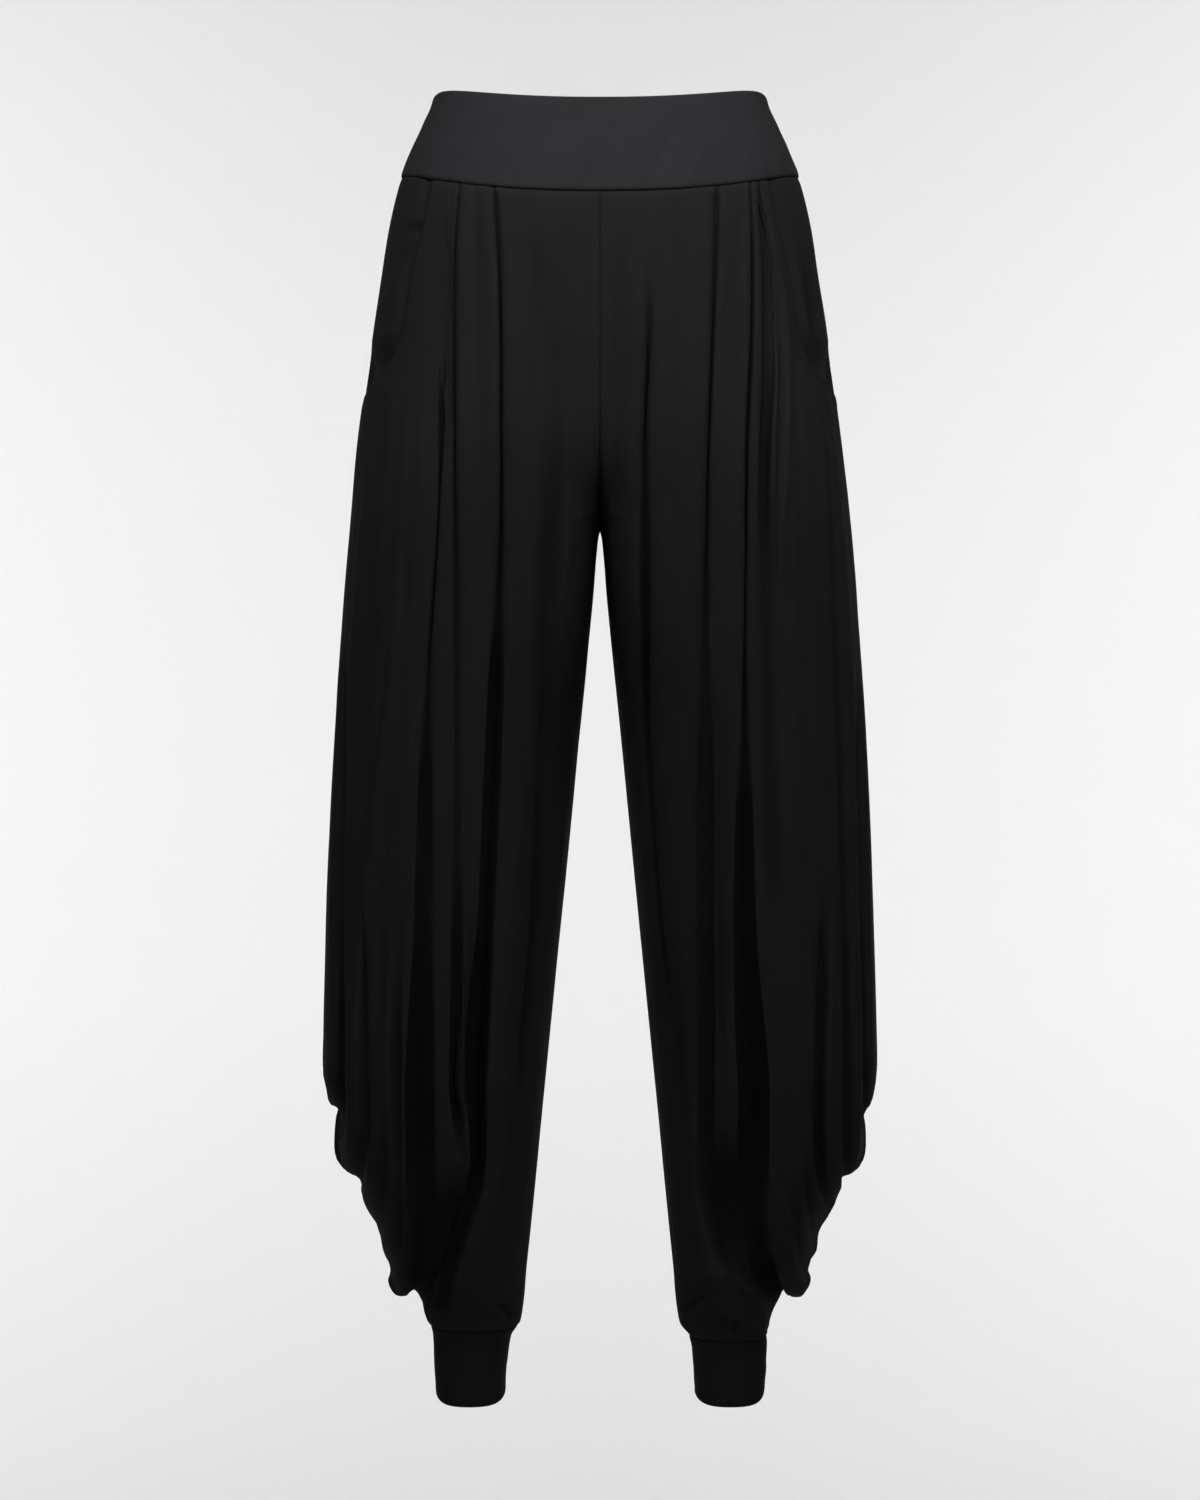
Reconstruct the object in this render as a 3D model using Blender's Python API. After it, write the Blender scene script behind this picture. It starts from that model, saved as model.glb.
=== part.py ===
"""Draped trousers in black jersey, filled out as if worn and held at the waist.

A wide fitted waistband carries two pleated legs. The pleats open into long folds, which turn
outwards low on the legs and hang there as nested loops round the side, above narrow ankle cuffs.

The wearer faces -Y and the wearer's left is +X. The origin is the middle of the waist opening,
level with the waistband's top edge at the sides. Sizes are in millimetres until a mesh is made.
Each leg is worked out as if it were the left one, and the right leg is turned to -X at the end.
"""

from collections import namedtuple

import bpy
import numpy as np

MM = 0.001

# Cloth and seams
CLOTH = 1.4
BAND_CLOTH = 2.4
CUFF_CLOTH = 2.0
SEAM_GAP = 0.3
SEAM_HALF = SEAM_GAP / 2
BAND_PROUD = 0.9
CUFF_INSET = 0.4

# Heights
WAIST_Z = -59.5
CROTCH_Z = -330.0
FAN_Z = -700.0
CUFF_HEM_Z = -1012.0
CUFF_SEAM_Z = {"left": -961.0, "right": -953.0}

# The waistband's edges, at the sides, dip in front and rise behind
TOP_DIP = 14.0
TOP_CORNER = 20.0
TOP_RISE = 10.0
SEAM_DIP = 28.0
SEAM_RISE = 8.0

# How round a section is, how much squarer its inner half is about the crotch, and how fast the rise
# leaves the middle for the legs
ROUNDNESS = 2.2
SQUARER = 3.6
SQUARER_REACH = 95.0
RISE_POWER = 3.0

# One leg at each height: its outer and inner edge from the middle, its depth before and behind the
# side seam, and how far behind the middle that seam lies
Section = namedtuple("Section", "z outer inner front back seam")
SECTIONS = (
    Section(20, 128.5, 0.0, 87, 91, 0),
    Section(0, 130.0, 0.0, 90, 94, 0),
    Section(-20, 138.2, 0.0, 95, 100, 0),
    Section(-60, 154.8, 0.0, 105, 110, 0),
    Section(-100, 164.5, 0.0, 115, 121, 0),
    Section(-140, 170.6, 0.0, 120, 129, 0),
    Section(-200, 179.5, 0.0, 124, 136, 0),
    Section(-260, 187.8, 0.0, 125, 137, 0),
    Section(-330, 194.8, 0.0, 121, 131, 0),
    Section(-390, 199.9, 5.9, 115, 123, 0),
    Section(-510, 207.5, 17.8, 106, 113, 1),
    Section(-640, 212.9, 30.6, 99, 106, 3),
    Section(-750, 216.0, 41.5, 91, 97, 5),
    Section(-785, 206.0, 45.0, 85, 91, 5),
    Section(-838, 186.0, 50.1, 76, 81, 6),
    Section(-880, 173.0, 54.3, 65, 70, 7),
    Section(-912, 160.0, 57.6, 55, 60, 8),
    Section(-930, 147.0, 59.0, 48, 53, 8),
    Section(-950, 134.5, 62.0, 40, 44, 8),
    Section(-961, 131.0, 69.0, 37, 40, 8),
    Section(-975, 130.8, 71.5, 35, 38, 8),
    Section(-1012, 128.4, 74.0, 32, 34, 8),
)

# Folds of one leg, from the inner edge outwards. Each has its place from the middle at six heights,
# where it starts, opens and fades, its width and depth at the knee and at the calf, its columns
# (three for a sharp fold, one for a soft one), the plain columns inside it, the loop of the side
# that it runs into, and how the same fold differs on the back of the leg.
FOLD_Z = (-75, -160, -300, -460, -620, -760)
Fold = namedtuple(
    "Fold",
    "name seam hip rise thigh knee calf start open fade wide wide_low deep deep_low"
    " columns plain loop back_shift back_deep",
)
FOLDS = {
    "right": (
        Fold("hollow", 36, 36, 36, 40, 46, 58, -280, -300, -640, 13, 12, 6, 5, 3, 2, "", 6, 1.1),
        Fold("main", 80, 75, 73, 76, 82, 93, -85, -300, -999, 9, 13, 11, 16, 3, 2, "5", -5, 0.9),
        Fold("branch_b", 106, 110, 108, 105, 103, 107, -85, -470, -760, 6, 8, 7, 8, 3, 1, "5", -3, 1.2),
        Fold("branch_a", 113, 117, 119, 127, 130, 134, -220, -380, -999, 10, 17, 11, 18, 3, 1, "5", 2, 0.8),
        Fold("soft_4", 124, 130, 140, 146, 148, 150, -600, -640, -999, 9, 14, 3, 5, 1, 2, "4", 6, 1.1),
        Fold("soft_3", 133, 142, 154, 161, 163, 164, -720, -740, -999, 8, 12, 2, 4, 1, 1, "3", 3, 1.4),
        Fold("fold_2", 142, 154, 168, 178, 180, 180, -560, -620, -999, 8, 10, 4, 8, 3, 1, "2", -3, 1.0),
        Fold("fold_1", 150, 165, 182, 195, 198, 198, -420, -440, -999, 5, 9, 5, 9, 3, 1, "1", -4, 0.8),
    ),
    "left": (
        Fold("hollow", 36, 37, 33, 34, 44, 57, -150, -170, -640, 6, 8, 5, 6, 3, 1, "", 5, 1.2),
        Fold("main", 89, 86, 80, 76, 75, 77, -85, -400, -830, 6, 7, 7, 8, 3, 1, "", 7, 1.3),
        Fold("wide", 114, 115, 109, 108, 109, 116, -85, -420, -999, 10, 20, 13, 22, 3, 2, "5", -6, 0.8),
        Fold("thin", 121, 127, 123, 123, 125, 134, -85, -360, -560, 5, 6, 5, 4, 1, 1, "", 2, 1.5),
        Fold("soft_4", 127, 134, 136, 137, 139, 144, -800, -820, -999, 8, 12, 3, 8, 1, 1, "4", 4, 1.2),
        Fold("soft_3", 134, 142, 149, 152, 153, 154, -780, -800, -999, 8, 12, 2, 5, 1, 1, "3", 5, 1.3),
        Fold("fold_3", 141, 150, 162, 168, 169, 166, -590, -640, -999, 6, 8, 6, 9, 3, 1, "", 4, 0.8),
        Fold("fold_2", 148, 160, 174, 181, 186, 190, -250, -300, -999, 6, 8, 5, 8, 3, 1, "2", -3, 1.2),
        Fold("fold_1", 153, 167, 186, 197, 201, 204, -440, -470, -999, 5, 8, 5, 8, 3, 1, "1", -4, 0.9),
    ),
}
CLOSED_WIDE = 3.0
CLOSED_DEEP = 1.2
OPENING = 170.0

# The three columns of a sharp fold: the lip, the root behind it and the drop of cloth over it. Each
# has its place across the fold's width, its height out as a share of the depth, and its lean inwards
# as a share of the width.
FOLD_SIDES = {"lip": -0.5, "root": 0.0, "drop": 0.5}
FOLD_HEIGHTS = {"lip": 0.0, "root": -1.0, "drop": 0.10}
FOLD_LEANS = {"lip": 0.0, "root": -0.16, "drop": 0.22}
RIDGE_CROWN = 0.09
RIDGE_MOST = 6.0
RIDGE_Z = (-120.0, -420.0)
FOLD_STARTS = 40.0
FOLD_FADES = 90.0
SEAM_CALM = 30.0
CUFF_CALM = 55.0

# Between these heights the folds of the back move to places of their own
BACK_SHIFTS = (-100.0, -320.0)

# Where folds that share a loop run together into one wide valley, and how deep it is
MERGE_Z = (-820.0, -890.0)
MERGE_DEEP = 13.0

# The side of the leg from the cuff up: each loop of cloth hangs down to a drop, and the one below it
# comes out from behind it at a lip, with the root of the fold between. turn is the height over which
# the folds above swing out to that point.
Hem = namedtuple("Hem", "name x z turn")
HEM = (
    Hem("lip5", 141.0, -933.5, 110),
    Hem("root5", 147.5, -927.5, 110),
    Hem("drop5", 155.0, -933.0, 100),
    Hem("low5", 163.8, -928.0, 95),
    Hem("belly5", 166.0, -915.0, 88),
    Hem("root4", 163.0, -909.5, 82),
    Hem("belly4", 170.2, -895.5, 75),
    Hem("root3", 172.6, -878.5, 68),
    Hem("belly3", 185.0, -858.5, 62),
    Hem("lip2", 187.2, -845.0, 60),
    Hem("root2", 184.0, -833.0, 60),
    Hem("drop2", 191.0, -835.5, 56),
    Hem("belly2", 203.4, -829.0, 52),
    Hem("lip1", 207.2, -791.0, 48),
    Hem("root1", 205.6, -777.0, 44),
    Hem("drop1", 209.2, -780.0, 42),
    Hem("belly1", 214.6, -766.5, 36),
    Hem("side", 216.0, -750.0, 0),
)

# Rows down a panel: shares of the rise, heights on the thigh, and shares of the fan below it
RISE_ROWS = (0.0, 0.08, 0.20, 0.34, 0.46, 0.53, 0.58, 0.62, 0.66, 0.87, 0.985)
THIGH_ROWS = (-330.0, -347.0, -385.0, -440.0, -505.0, -575.0, -640.0)
FAN_ROWS = (0.0, 0.17, 0.34, 0.48, 0.61, 0.73, 0.84, 0.93, 1.0)

# Below this height the folds keep their angle, and swing out to the side or to their place at the cuff
SWING_Z = -760.0
CUFF_SWING = 4.0
TURN_LENGTH = 1.25

# The slanted pocket mouth, and where the panel's outer columns start to crowd towards it
POCKET_Z = (-60, -100, -148, -185, -203, -217)
POCKET_X = (126, 133, 144, 150, 155.5, 164)
CROWD_X = (119, 124, 129, 132, 134, 136)
POCKET_END_Z = -238.0
HIP_END_Z = -243.0
HIP_UNDERLAP = 12.0
HIP_RISE = (3.0, 18.0)
HIP_DEEP = CLOTH + 1.2
HIP_SINKS = (-185.0, -212.0)
HIP_TUCK = 2.5
HIP_ROWS = (0.0, 0.14, 0.32, 0.5, 0.64, 0.75, 0.84, 0.92, 1.0)
HIP_COLUMNS = 9

BAND_ROWS = (0.0, 0.5, 1.0)
CUFF_COLUMNS = 24
CUFF_CORNER = 4.0
CUFF_ROWS = (0.0, 0.12, 0.6, 1.0)

CLOTH_COLOUR = (0.018, 0.018, 0.020, 1.0)
CLOTH_ROUGHNESS = 0.85
SHARP_EDGE = 1.0

# The least cosine of a fold's half turn that the wall's thickness is kept for
MITRE_LEAST = 0.45


def ramp(z, top, bottom):
    """0 above top and 1 below bottom, easing at both ends."""
    share = np.clip((top - z) / (top - bottom), 0.0, 1.0)
    return share * share * (3.0 - 2.0 * share)


def curve(knots, values, at):
    """A smooth line through the values that never swings past them, level beyond its ends."""
    order = np.argsort(knots)
    x = np.asarray(knots, float)[order]
    y = np.asarray(values, float)[order]
    step = np.diff(x)
    slope = np.diff(y) / step
    product = slope[:-1] * slope[1:]
    safe = np.where(product > 0.0, slope[:-1] + slope[1:], 1.0)
    tangent = np.zeros_like(y)
    tangent[1:-1] = np.where(product > 0.0, 2.0 * product / safe, 0.0)
    tangent[0] = slope[0]
    tangent[-1] = slope[-1]
    at = np.clip(at, x[0], x[-1])
    i = np.clip(np.searchsorted(x, at, side="right") - 1, 0, len(step) - 1)
    t = (at - x[i]) / step[i]
    rest = 1.0 - t
    ends = y[i] * rest * rest * (1.0 + 2.0 * t) + y[i + 1] * t * t * (3.0 - 2.0 * t)
    return ends + step[i] * t * rest * (tangent[i] * rest - tangent[i + 1] * t)


def section(z, back):
    """Half width, centre, depth and seam line of one leg at height z.

    Above the crotch the two legs run into each other: the centre of the section moves in to the
    middle as it nears the waist, and the panel is cut off at the middle.
    """
    heights = [row.z for row in SECTIONS]
    outer = curve(heights, [row.outer for row in SECTIONS], z)
    inner = curve(heights, [row.inner for row in SECTIONS], z)
    deep = curve(heights, [row.back if back else row.front for row in SECTIONS], z)
    seam = curve(heights, [row.seam for row in SECTIONS], z)
    parting = np.clip((WAIST_Z - z) / (WAIST_Z - CROTCH_Z), 0.0, 1.0) ** RISE_POWER
    above = z >= CROTCH_Z
    half = np.where(above, outer / (1.0 + parting), (outer - inner) / 2.0)
    centre = np.where(above, parting * half, (outer + inner) / 2.0)
    return half, centre, deep, seam


def power(inner, z):
    """The power of the section's superellipse, which is higher on its inner half near the crotch."""
    near = np.exp(-(((z - CROTCH_Z) / SQUARER_REACH) ** 2))
    return ROUNDNESS + np.where(inner, SQUARER * near, 0.0)


def angle_at(x, z, back):
    """The angle round the section, 0 at its inner end and pi at its outer, of a point x from the middle."""
    half, centre, deep, _ = section(z, back)
    across = np.clip((x - centre) / half, -1.0, 1.0)
    squareness = power(across < 0.0, z)
    out = deep * (1.0 - np.abs(across) ** squareness) ** (1.0 / squareness)
    return np.arctan2(out, -across * half)


def reach(angle, z, back):
    """Distance from the section's centre to its edge at an angle."""
    half, _, deep, _ = section(z, back)
    squareness = power(np.cos(angle) > 0.0, z)
    wide = np.abs(np.cos(angle) / half) ** squareness
    tall = np.abs(np.sin(angle) / deep) ** squareness
    return (wide + tall) ** (-1.0 / squareness)


def on_section(angle, z, back):
    """Points of the plain leg, with half a seam's gap kept at the middle and at the side."""
    _, centre, _, seam = section(z, back)
    out = reach(angle, z, back)
    x = centre - out * np.cos(angle) + SEAM_HALF
    y = np.abs(out * np.sin(angle)) + SEAM_HALF
    return np.stack([x, seam + np.where(back, y, -y), z], axis=-1)


def depth_share(angle, z, back):
    """How far forward or back a point of the section is, from 0 at the seams to 1 at the middle."""
    _, _, deep, _ = section(z, back)
    return np.abs(reach(angle, z, back) * np.sin(angle)) / deep


def waist_seam_z(angle, back):
    share = depth_share(angle, np.full_like(angle, WAIST_Z), back)
    return WAIST_Z + (SEAM_RISE if back else -SEAM_DIP) * share**2


def waist_top_z(angle, back):
    share = depth_share(angle, np.zeros_like(angle), back)
    corner = TOP_CORNER * share * (1.0 - share) ** 2
    return TOP_RISE * share**2 if back else corner - TOP_DIP * share**3


def normals(grid, back):
    """Unit normals of a grid of points, turned away from the body."""
    across = np.gradient(grid, axis=1)
    down = np.gradient(grid, axis=0)
    normal = np.cross(across, down) if back else np.cross(down, across)
    return unit(normal)


def unit(vectors):
    return vectors / np.linalg.norm(vectors, axis=-1, keepdims=True)


def wall_steps(grid, back):
    """Steps one unit thick from the inner face to the outer one, longer where a sharp fold needs it."""
    down = np.gradient(grid, axis=0)
    across = np.diff(grid, axis=1)
    turned = 1.0 if not back else -1.0
    before = unit(turned * np.cross(down[:, 1:], across))
    after = unit(turned * np.cross(down[:, :-1], across))
    before = np.concatenate([after[:, :1], before], axis=1)
    after = np.concatenate([after, before[:, -1:]], axis=1)
    normal = unit(before + after)
    lean = np.sum(normal * after, axis=2, keepdims=True)
    return normal / np.maximum(lean, MITRE_LEAST)


def flattened(step, axis):
    """Steps laid into the plane of a seam, so that the wall's edge stays on the seam."""
    flat = step.copy()
    flat[..., axis] = 0.0
    return unit(flat) * np.linalg.norm(step, axis=-1, keepdims=True)


def columns_of(folds):
    """The columns of a panel from its inner edge out, as (role, fold number) pairs."""
    columns = [("edge", -1)]
    for number, fold in enumerate(folds):
        columns += [("ridge", number)] * fold.plain
        roles = ("lip", "root", "drop") if fold.columns == 3 else ("root",)
        columns += [(role, number) for role in roles]
    return columns + [("ridge", len(folds)), ("edge", len(folds))]


def column_ends(columns, folds):
    """How many columns end at the cuff, and where each of the others meets the side of the leg.

    A fold that runs into a loop meets the side at that loop's lip, root and drop, or the outermost
    one does where several folds share a loop. The columns between are spread evenly.
    """
    names = [point.name for point in HEM]
    places = [role + folds[owner].loop if role in FOLD_SIDES else "" for role, owner in columns]
    places[-1] = "side"
    met = {names.index(place): number for number, place in enumerate(places) if place in names}
    first = min(met.values())
    order = sorted(met)
    places = np.interp(np.arange(first, len(columns)), [met[place] for place in order], order)
    order = np.arange(len(HEM))
    end_x = np.interp(places, order, [point.x for point in HEM])
    end_z = np.interp(places, order, [point.z for point in HEM])
    turn = np.interp(places, order, [point.turn for point in HEM])
    return first, end_x, end_z, turn


def fold_size(fold, z, back):
    """Width and depth of a fold at each height, and how far it leans over sideways."""
    opened = ramp(z, fold.open, fold.open - OPENING)
    low = ramp(z, FOLD_Z[-2], FOLD_Z[-1])
    wide = CLOSED_WIDE + (fold.wide - CLOSED_WIDE) * opened + (fold.wide_low - fold.wide) * low
    deep = CLOSED_DEEP + (fold.deep - CLOSED_DEEP) * opened + (fold.deep_low - fold.deep) * low
    here = ramp(z, fold.start, fold.start - FOLD_STARTS) * (1.0 - ramp(z, fold.fade, fold.fade - FOLD_FADES))
    return wide, deep * here * (fold.back_deep if back else 1.0), wide * opened * here


def pocket_angle(z):
    """Where the front panel ends: the pocket mouth above its lower end, and the side seam below."""
    mouth = angle_at(curve(POCKET_Z, POCKET_X, z), z, False)
    return mouth + (np.pi - mouth) * np.clip((POCKET_Z[-1] - z) / (POCKET_Z[-1] - POCKET_END_Z), 0.0, 1.0)


def laid_angles(columns, folds, z, back):
    """The angle of each column at each height, before the folds swing out to the side."""
    angles = np.full(z.shape, np.nan)
    held = np.maximum(z, SWING_Z)
    angles[:, 0] = angle_at(0.0, z[:, 0], back)
    angles[:, -1] = np.pi
    for number, (role, owner) in enumerate(columns):
        if role not in FOLD_SIDES:
            continue
        fold = folds[owner]
        at = held[:, number]
        x = curve(FOLD_Z, fold[1:7], at) + (fold.back_shift * ramp(at, *BACK_SHIFTS) if back else 0.0)
        middle = angle_at(x, at, back)
        wide, _, _ = fold_size(fold, z[:, number], back)
        angles[:, number] = middle + FOLD_SIDES[role] * wide / reach(middle, at, back)
    placed = [number for number, (role, _) in enumerate(columns) if role != "ridge"]
    spread = np.array([np.interp(np.arange(len(columns)), placed, row[placed]) for row in angles])
    if back:
        return spread
    start = angle_at(curve(POCKET_Z, CROWD_X, z), z, False)
    crowded = start + (spread - start) * (pocket_angle(z) - start) / np.maximum(np.pi - start, 1e-6)
    return np.where(spread > start, crowded, spread)


def panel_rows(columns, first, end_z, turn, cuff_z, top_z):
    """The height of each column in each row, and how far each has swung out to the side there."""
    rise = top_z + np.outer(RISE_ROWS, CROTCH_Z - top_z)
    thigh = np.outer(THIGH_ROWS, np.ones(len(columns)))
    share = np.asarray(FAN_ROWS)[:, None]
    cuffed = FAN_Z + share * (cuff_z + SEAM_HALF - FAN_Z) * np.ones(first)
    straight = FAN_Z - end_z - turn
    starts = straight / (straight + TURN_LENGTH * turn)
    swing = np.clip((share - starts) / np.maximum(1.0 - starts, 1e-6), 0.0, 1.0) * np.pi / 2.0
    looped = FAN_Z - straight * np.minimum(share / starts, 1.0) - turn * np.sin(swing)
    fan = np.hstack([cuffed, looped])
    z = np.vstack([rise, thigh, fan])
    swung = np.zeros_like(z)
    swung[-len(FAN_ROWS):, first:] = 1.0 - np.cos(swing)
    return z, swung


def relief(columns, folds, z, angles, back, cuff_z):
    """How far the folds stand in or out from the plain leg, and how far they lean over inwards."""
    out = np.zeros_like(z)
    lean = np.zeros_like(z)
    round_leg = reach(angles, z, back)
    placed = [number for number, (role, _) in enumerate(columns) if role != "ridge"]
    for number, (role, owner) in enumerate(columns):
        at = z[:, number]
        if role == "ridge":
            before = max(i for i in placed if i < number)
            after = min(i for i in placed if i > number)
            gap = (angles[:, after] - angles[:, before]) * round_leg[:, number]
            share = (number - before) / (after - before)
            crown = np.minimum(RIDGE_CROWN * gap, RIDGE_MOST) * 4.0 * share * (1.0 - share)
            if 0 < owner < len(folds):
                out[:, number] = crown * ramp(at, *RIDGE_Z)
        elif role != "edge":
            _, deep, leaning = fold_size(folds[owner], at, back)
            out[:, number] = FOLD_HEIGHTS[role] * deep
            lean[:, number] = FOLD_LEANS[role] * leaning
    for loop in {fold.loop for fold in folds if fold.loop}:
        shared = [i for i in placed if columns[i][0] == "root" and folds[columns[i][1]].loop == loop]
        merged = slice(min(shared), max(shared) + 1)
        if len(shared) > 1:
            together = ramp(z[:, merged], *MERGE_Z)
            out[:, merged] = np.minimum(out[:, merged], -MERGE_DEEP * together)
            lean[:, merged] *= 1.0 - together
    return out, lean * (1.0 - ramp(z, cuff_z + CUFF_CALM, cuff_z))


def panel_top(side, back):
    """Angle and height of each column of a panel at its top edge."""
    folds = FOLDS[side]
    columns = columns_of(folds)
    level = np.full((1, len(columns)), WAIST_Z)
    top_z = waist_seam_z(laid_angles(columns, folds, level, back), back) - SEAM_HALF
    return laid_angles(columns, folds, top_z, back)[0], top_z[0]


def leg_panel(side, back):
    """Outer and inner points of a front or back panel, in rows down and columns outwards."""
    folds = FOLDS[side]
    cuff_z = CUFF_SEAM_Z[side]
    columns = columns_of(folds)
    first, end_x, end_z, turn = column_ends(columns, folds)
    _, top_z = panel_top(side, back)
    z, swung = panel_rows(columns, first, end_z, turn, cuff_z, top_z)
    angles = laid_angles(columns, folds, z, back)
    angles += (np.pi - angles) * swung
    drawn_in = np.clip((SWING_Z - z) / (SWING_Z - cuff_z), 0.0, 1.0)[:, :first] ** CUFF_SWING
    angles[:, :first] += (np.linspace(0.0, np.pi, first) - angles[:, :first]) * drawn_in
    plain = on_section(angles, z, back)
    edge_x = on_section(np.full_like(end_z, np.pi), end_z, back)[:, 0]
    plain[:, first:, 0] += (end_x - edge_x) * swung[:, first:]
    inward = -unit(np.gradient(plain, axis=1))
    out, lean = relief(columns, folds, z, angles, back, cuff_z)
    calm = (1.0 - swung) * (1.0 - ramp(z, cuff_z + CUFF_CALM, cuff_z)) * ramp(z, top_z, top_z - SEAM_CALM)
    calm[:, first:] = np.where(z[:, first:] < FAN_Z, 1.0 - swung[:, first:] ** 2, calm[:, first:])
    outer = plain + normals(plain, back) * (out * calm)[..., None] + inward * (lean * calm)[..., None]
    step = wall_steps(outer, back)
    crotch = len(RISE_ROWS)
    step[:crotch, 0] = flattened(step[:crotch, 0], 0)
    step[crotch:, 0] = flattened(step[crotch:, 0], 1)
    seamed = z[:, -1] < (0.0 if back else POCKET_END_Z)
    step[seamed, -1] = flattened(step[seamed, -1], 1)
    step[-1, first:] = flattened(step[-1, first:], 1)
    step[0] = flattened(step[0], 2)
    step[-1, :first] = flattened(step[-1, :first], 2)
    step[-1, [first - 1, -1]] = (1.0, 0.0, 0.0)
    return outer, outer - CLOTH * step


def hip_grid():
    """Angle and height of each point of the hip piece, in rows down and columns outwards."""
    share = np.linspace(0.0, 1.0, HIP_COLUMNS)[None, :]
    level = np.array([[WAIST_Z]])
    start = pocket_angle(level) - HIP_UNDERLAP / reach(pocket_angle(level), level, False)
    top_z = waist_seam_z(start + (np.pi - start) * share, False) - SEAM_HALF
    z = top_z + (HIP_END_Z - top_z) * np.asarray(HIP_ROWS)[:, None]
    start = pocket_angle(z) - HIP_UNDERLAP / reach(pocket_angle(z), z, False)
    return start + (np.pi - start) * share, z


def hip_piece():
    """The yoke beside the pocket mouth: it lies under the front panel there and rises to the side seam."""
    angles, z = hip_grid()
    plain = on_section(angles, z, False)
    beyond = (angles - pocket_angle(z)) * reach(angles, z, False)
    risen = (1.0 - ramp(beyond, HIP_RISE[1], HIP_RISE[0])) * (1.0 - ramp(z, *HIP_SINKS))
    deep = HIP_DEEP * (1.0 - risen) + HIP_TUCK * ramp(z, *HIP_SINKS)
    step = normals(plain, False)
    step[:, -1] = flattened(step[:, -1], 1)
    step[0] = flattened(step[0], 2)
    outer = plain - step * deep[..., None]
    return outer, outer - CLOTH * step


def band_half(side, back):
    """Columns of one half of the band, each over a column of the cloth below it, and their seam heights.

    The columns are shares of the way from the middle of the front or back to the side seam.
    """
    angles, z = panel_top(side, back)
    if not back:
        hip_angles, hip_z = hip_grid()
        beyond = hip_angles[0] > angles[-1]
        angles = np.append(angles, hip_angles[0][beyond])
        z = np.append(z, hip_z[0][beyond])
    middle = angle_at(0.0, z, back)
    return (angles - middle) / (np.pi - middle), z + SEAM_GAP


def waistband(back):
    """Half of the band, from the right side seam round to the left one, rows from its seam up."""
    left, left_z = band_half("left", back)
    right, right_z = band_half("right", back)
    across = np.concatenate([-right[::-1], left[1:]])[None, :]
    low = np.concatenate([right_z[::-1], left_z[1:]])[None, :]
    share = np.asarray(BAND_ROWS)[:, None]
    level = np.pi / 2.0 * (1.0 + np.abs(across))
    z = low + (waist_top_z(level, back) - low) * share
    middle = angle_at(0.0, z, back)
    plain = on_section(middle + (np.pi - middle) * np.abs(across), z, back)
    plain[..., 0] *= np.sign(across)
    step = normals(plain, not back)
    for row in (0, -1):
        step[row] = flattened(step[row], 2)
    for column in (0, -1):
        step[:, column] = flattened(step[:, column], 1)
    outer = plain + BAND_PROUD * step
    return outer, outer - BAND_CLOTH * step


def ankle_cuff(side):
    """The cuff as a tube, rows down from its seam and columns all the way round."""
    angles = np.linspace(0.0, 2.0 * np.pi, CUFF_COLUMNS, endpoint=False)[None, :]
    top = CUFF_SEAM_Z[side] - SEAM_HALF
    hem = CUFF_HEM_Z + CUFF_CORNER * np.cos(angles) ** 4
    z = top + (hem - top) * np.asarray(CUFF_ROWS)[:, None]
    angles = angles * np.ones_like(z)
    halves = [on_section(angles, z, back) for back in (False, True)]
    ring = np.where((angles > np.pi)[..., None], halves[1], halves[0])
    centre = np.array([ring[..., 0].mean(), ring[..., 1].mean()])
    away = unit(ring[..., :2] - centre)
    outer = ring.copy()
    outer[..., :2] -= CUFF_INSET * away
    inner = outer.copy()
    inner[..., :2] -= CUFF_CLOTH * away
    return outer, inner


def grid_faces(rows, columns, start, wrapped):
    """Triangles of a grid of points, each cell cut along the same diagonal."""
    row = np.arange(rows - 1)[:, None]
    column = np.arange(columns if wrapped else columns - 1)[None, :]
    here = start + row * columns + column
    beside = start + row * columns + (column + 1) % columns
    first = np.stack([here, here + columns, beside + columns], axis=-1)
    second = np.stack([here, beside + columns, beside], axis=-1)
    return np.concatenate([first.reshape(-1, 3), second.reshape(-1, 3)])


def strip_faces(outer_rim, inner_rim):
    """Triangles between two rims of the same length."""
    first = np.stack([outer_rim[:-1], outer_rim[1:], inner_rim[1:]], axis=-1)
    second = np.stack([outer_rim[:-1], inner_rim[1:], inner_rim[:-1]], axis=-1)
    return np.concatenate([first, second])


def wall_mesh(outer, inner, wrapped):
    """Points and triangles of a wall between two grids, closed along its edges."""
    rows, columns = outer.shape[:2]
    count = rows * columns
    number = np.arange(count).reshape(rows, columns)
    if wrapped:
        top = np.append(number[0], number[0, 0])
        bottom = np.append(number[-1], number[-1, 0])
        rims = [top, bottom[::-1]]
    else:
        rims = [np.concatenate([number[0], number[1:, -1], number[-1, -2::-1], number[-2::-1, 0]])]
    faces = [grid_faces(rows, columns, 0, wrapped), grid_faces(rows, columns, count, wrapped)[:, ::-1]]
    faces += [strip_faces(rim, rim + count) for rim in rims]
    points = np.concatenate([outer.reshape(-1, 3), inner.reshape(-1, 3)])
    return points, np.concatenate(faces)


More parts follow.
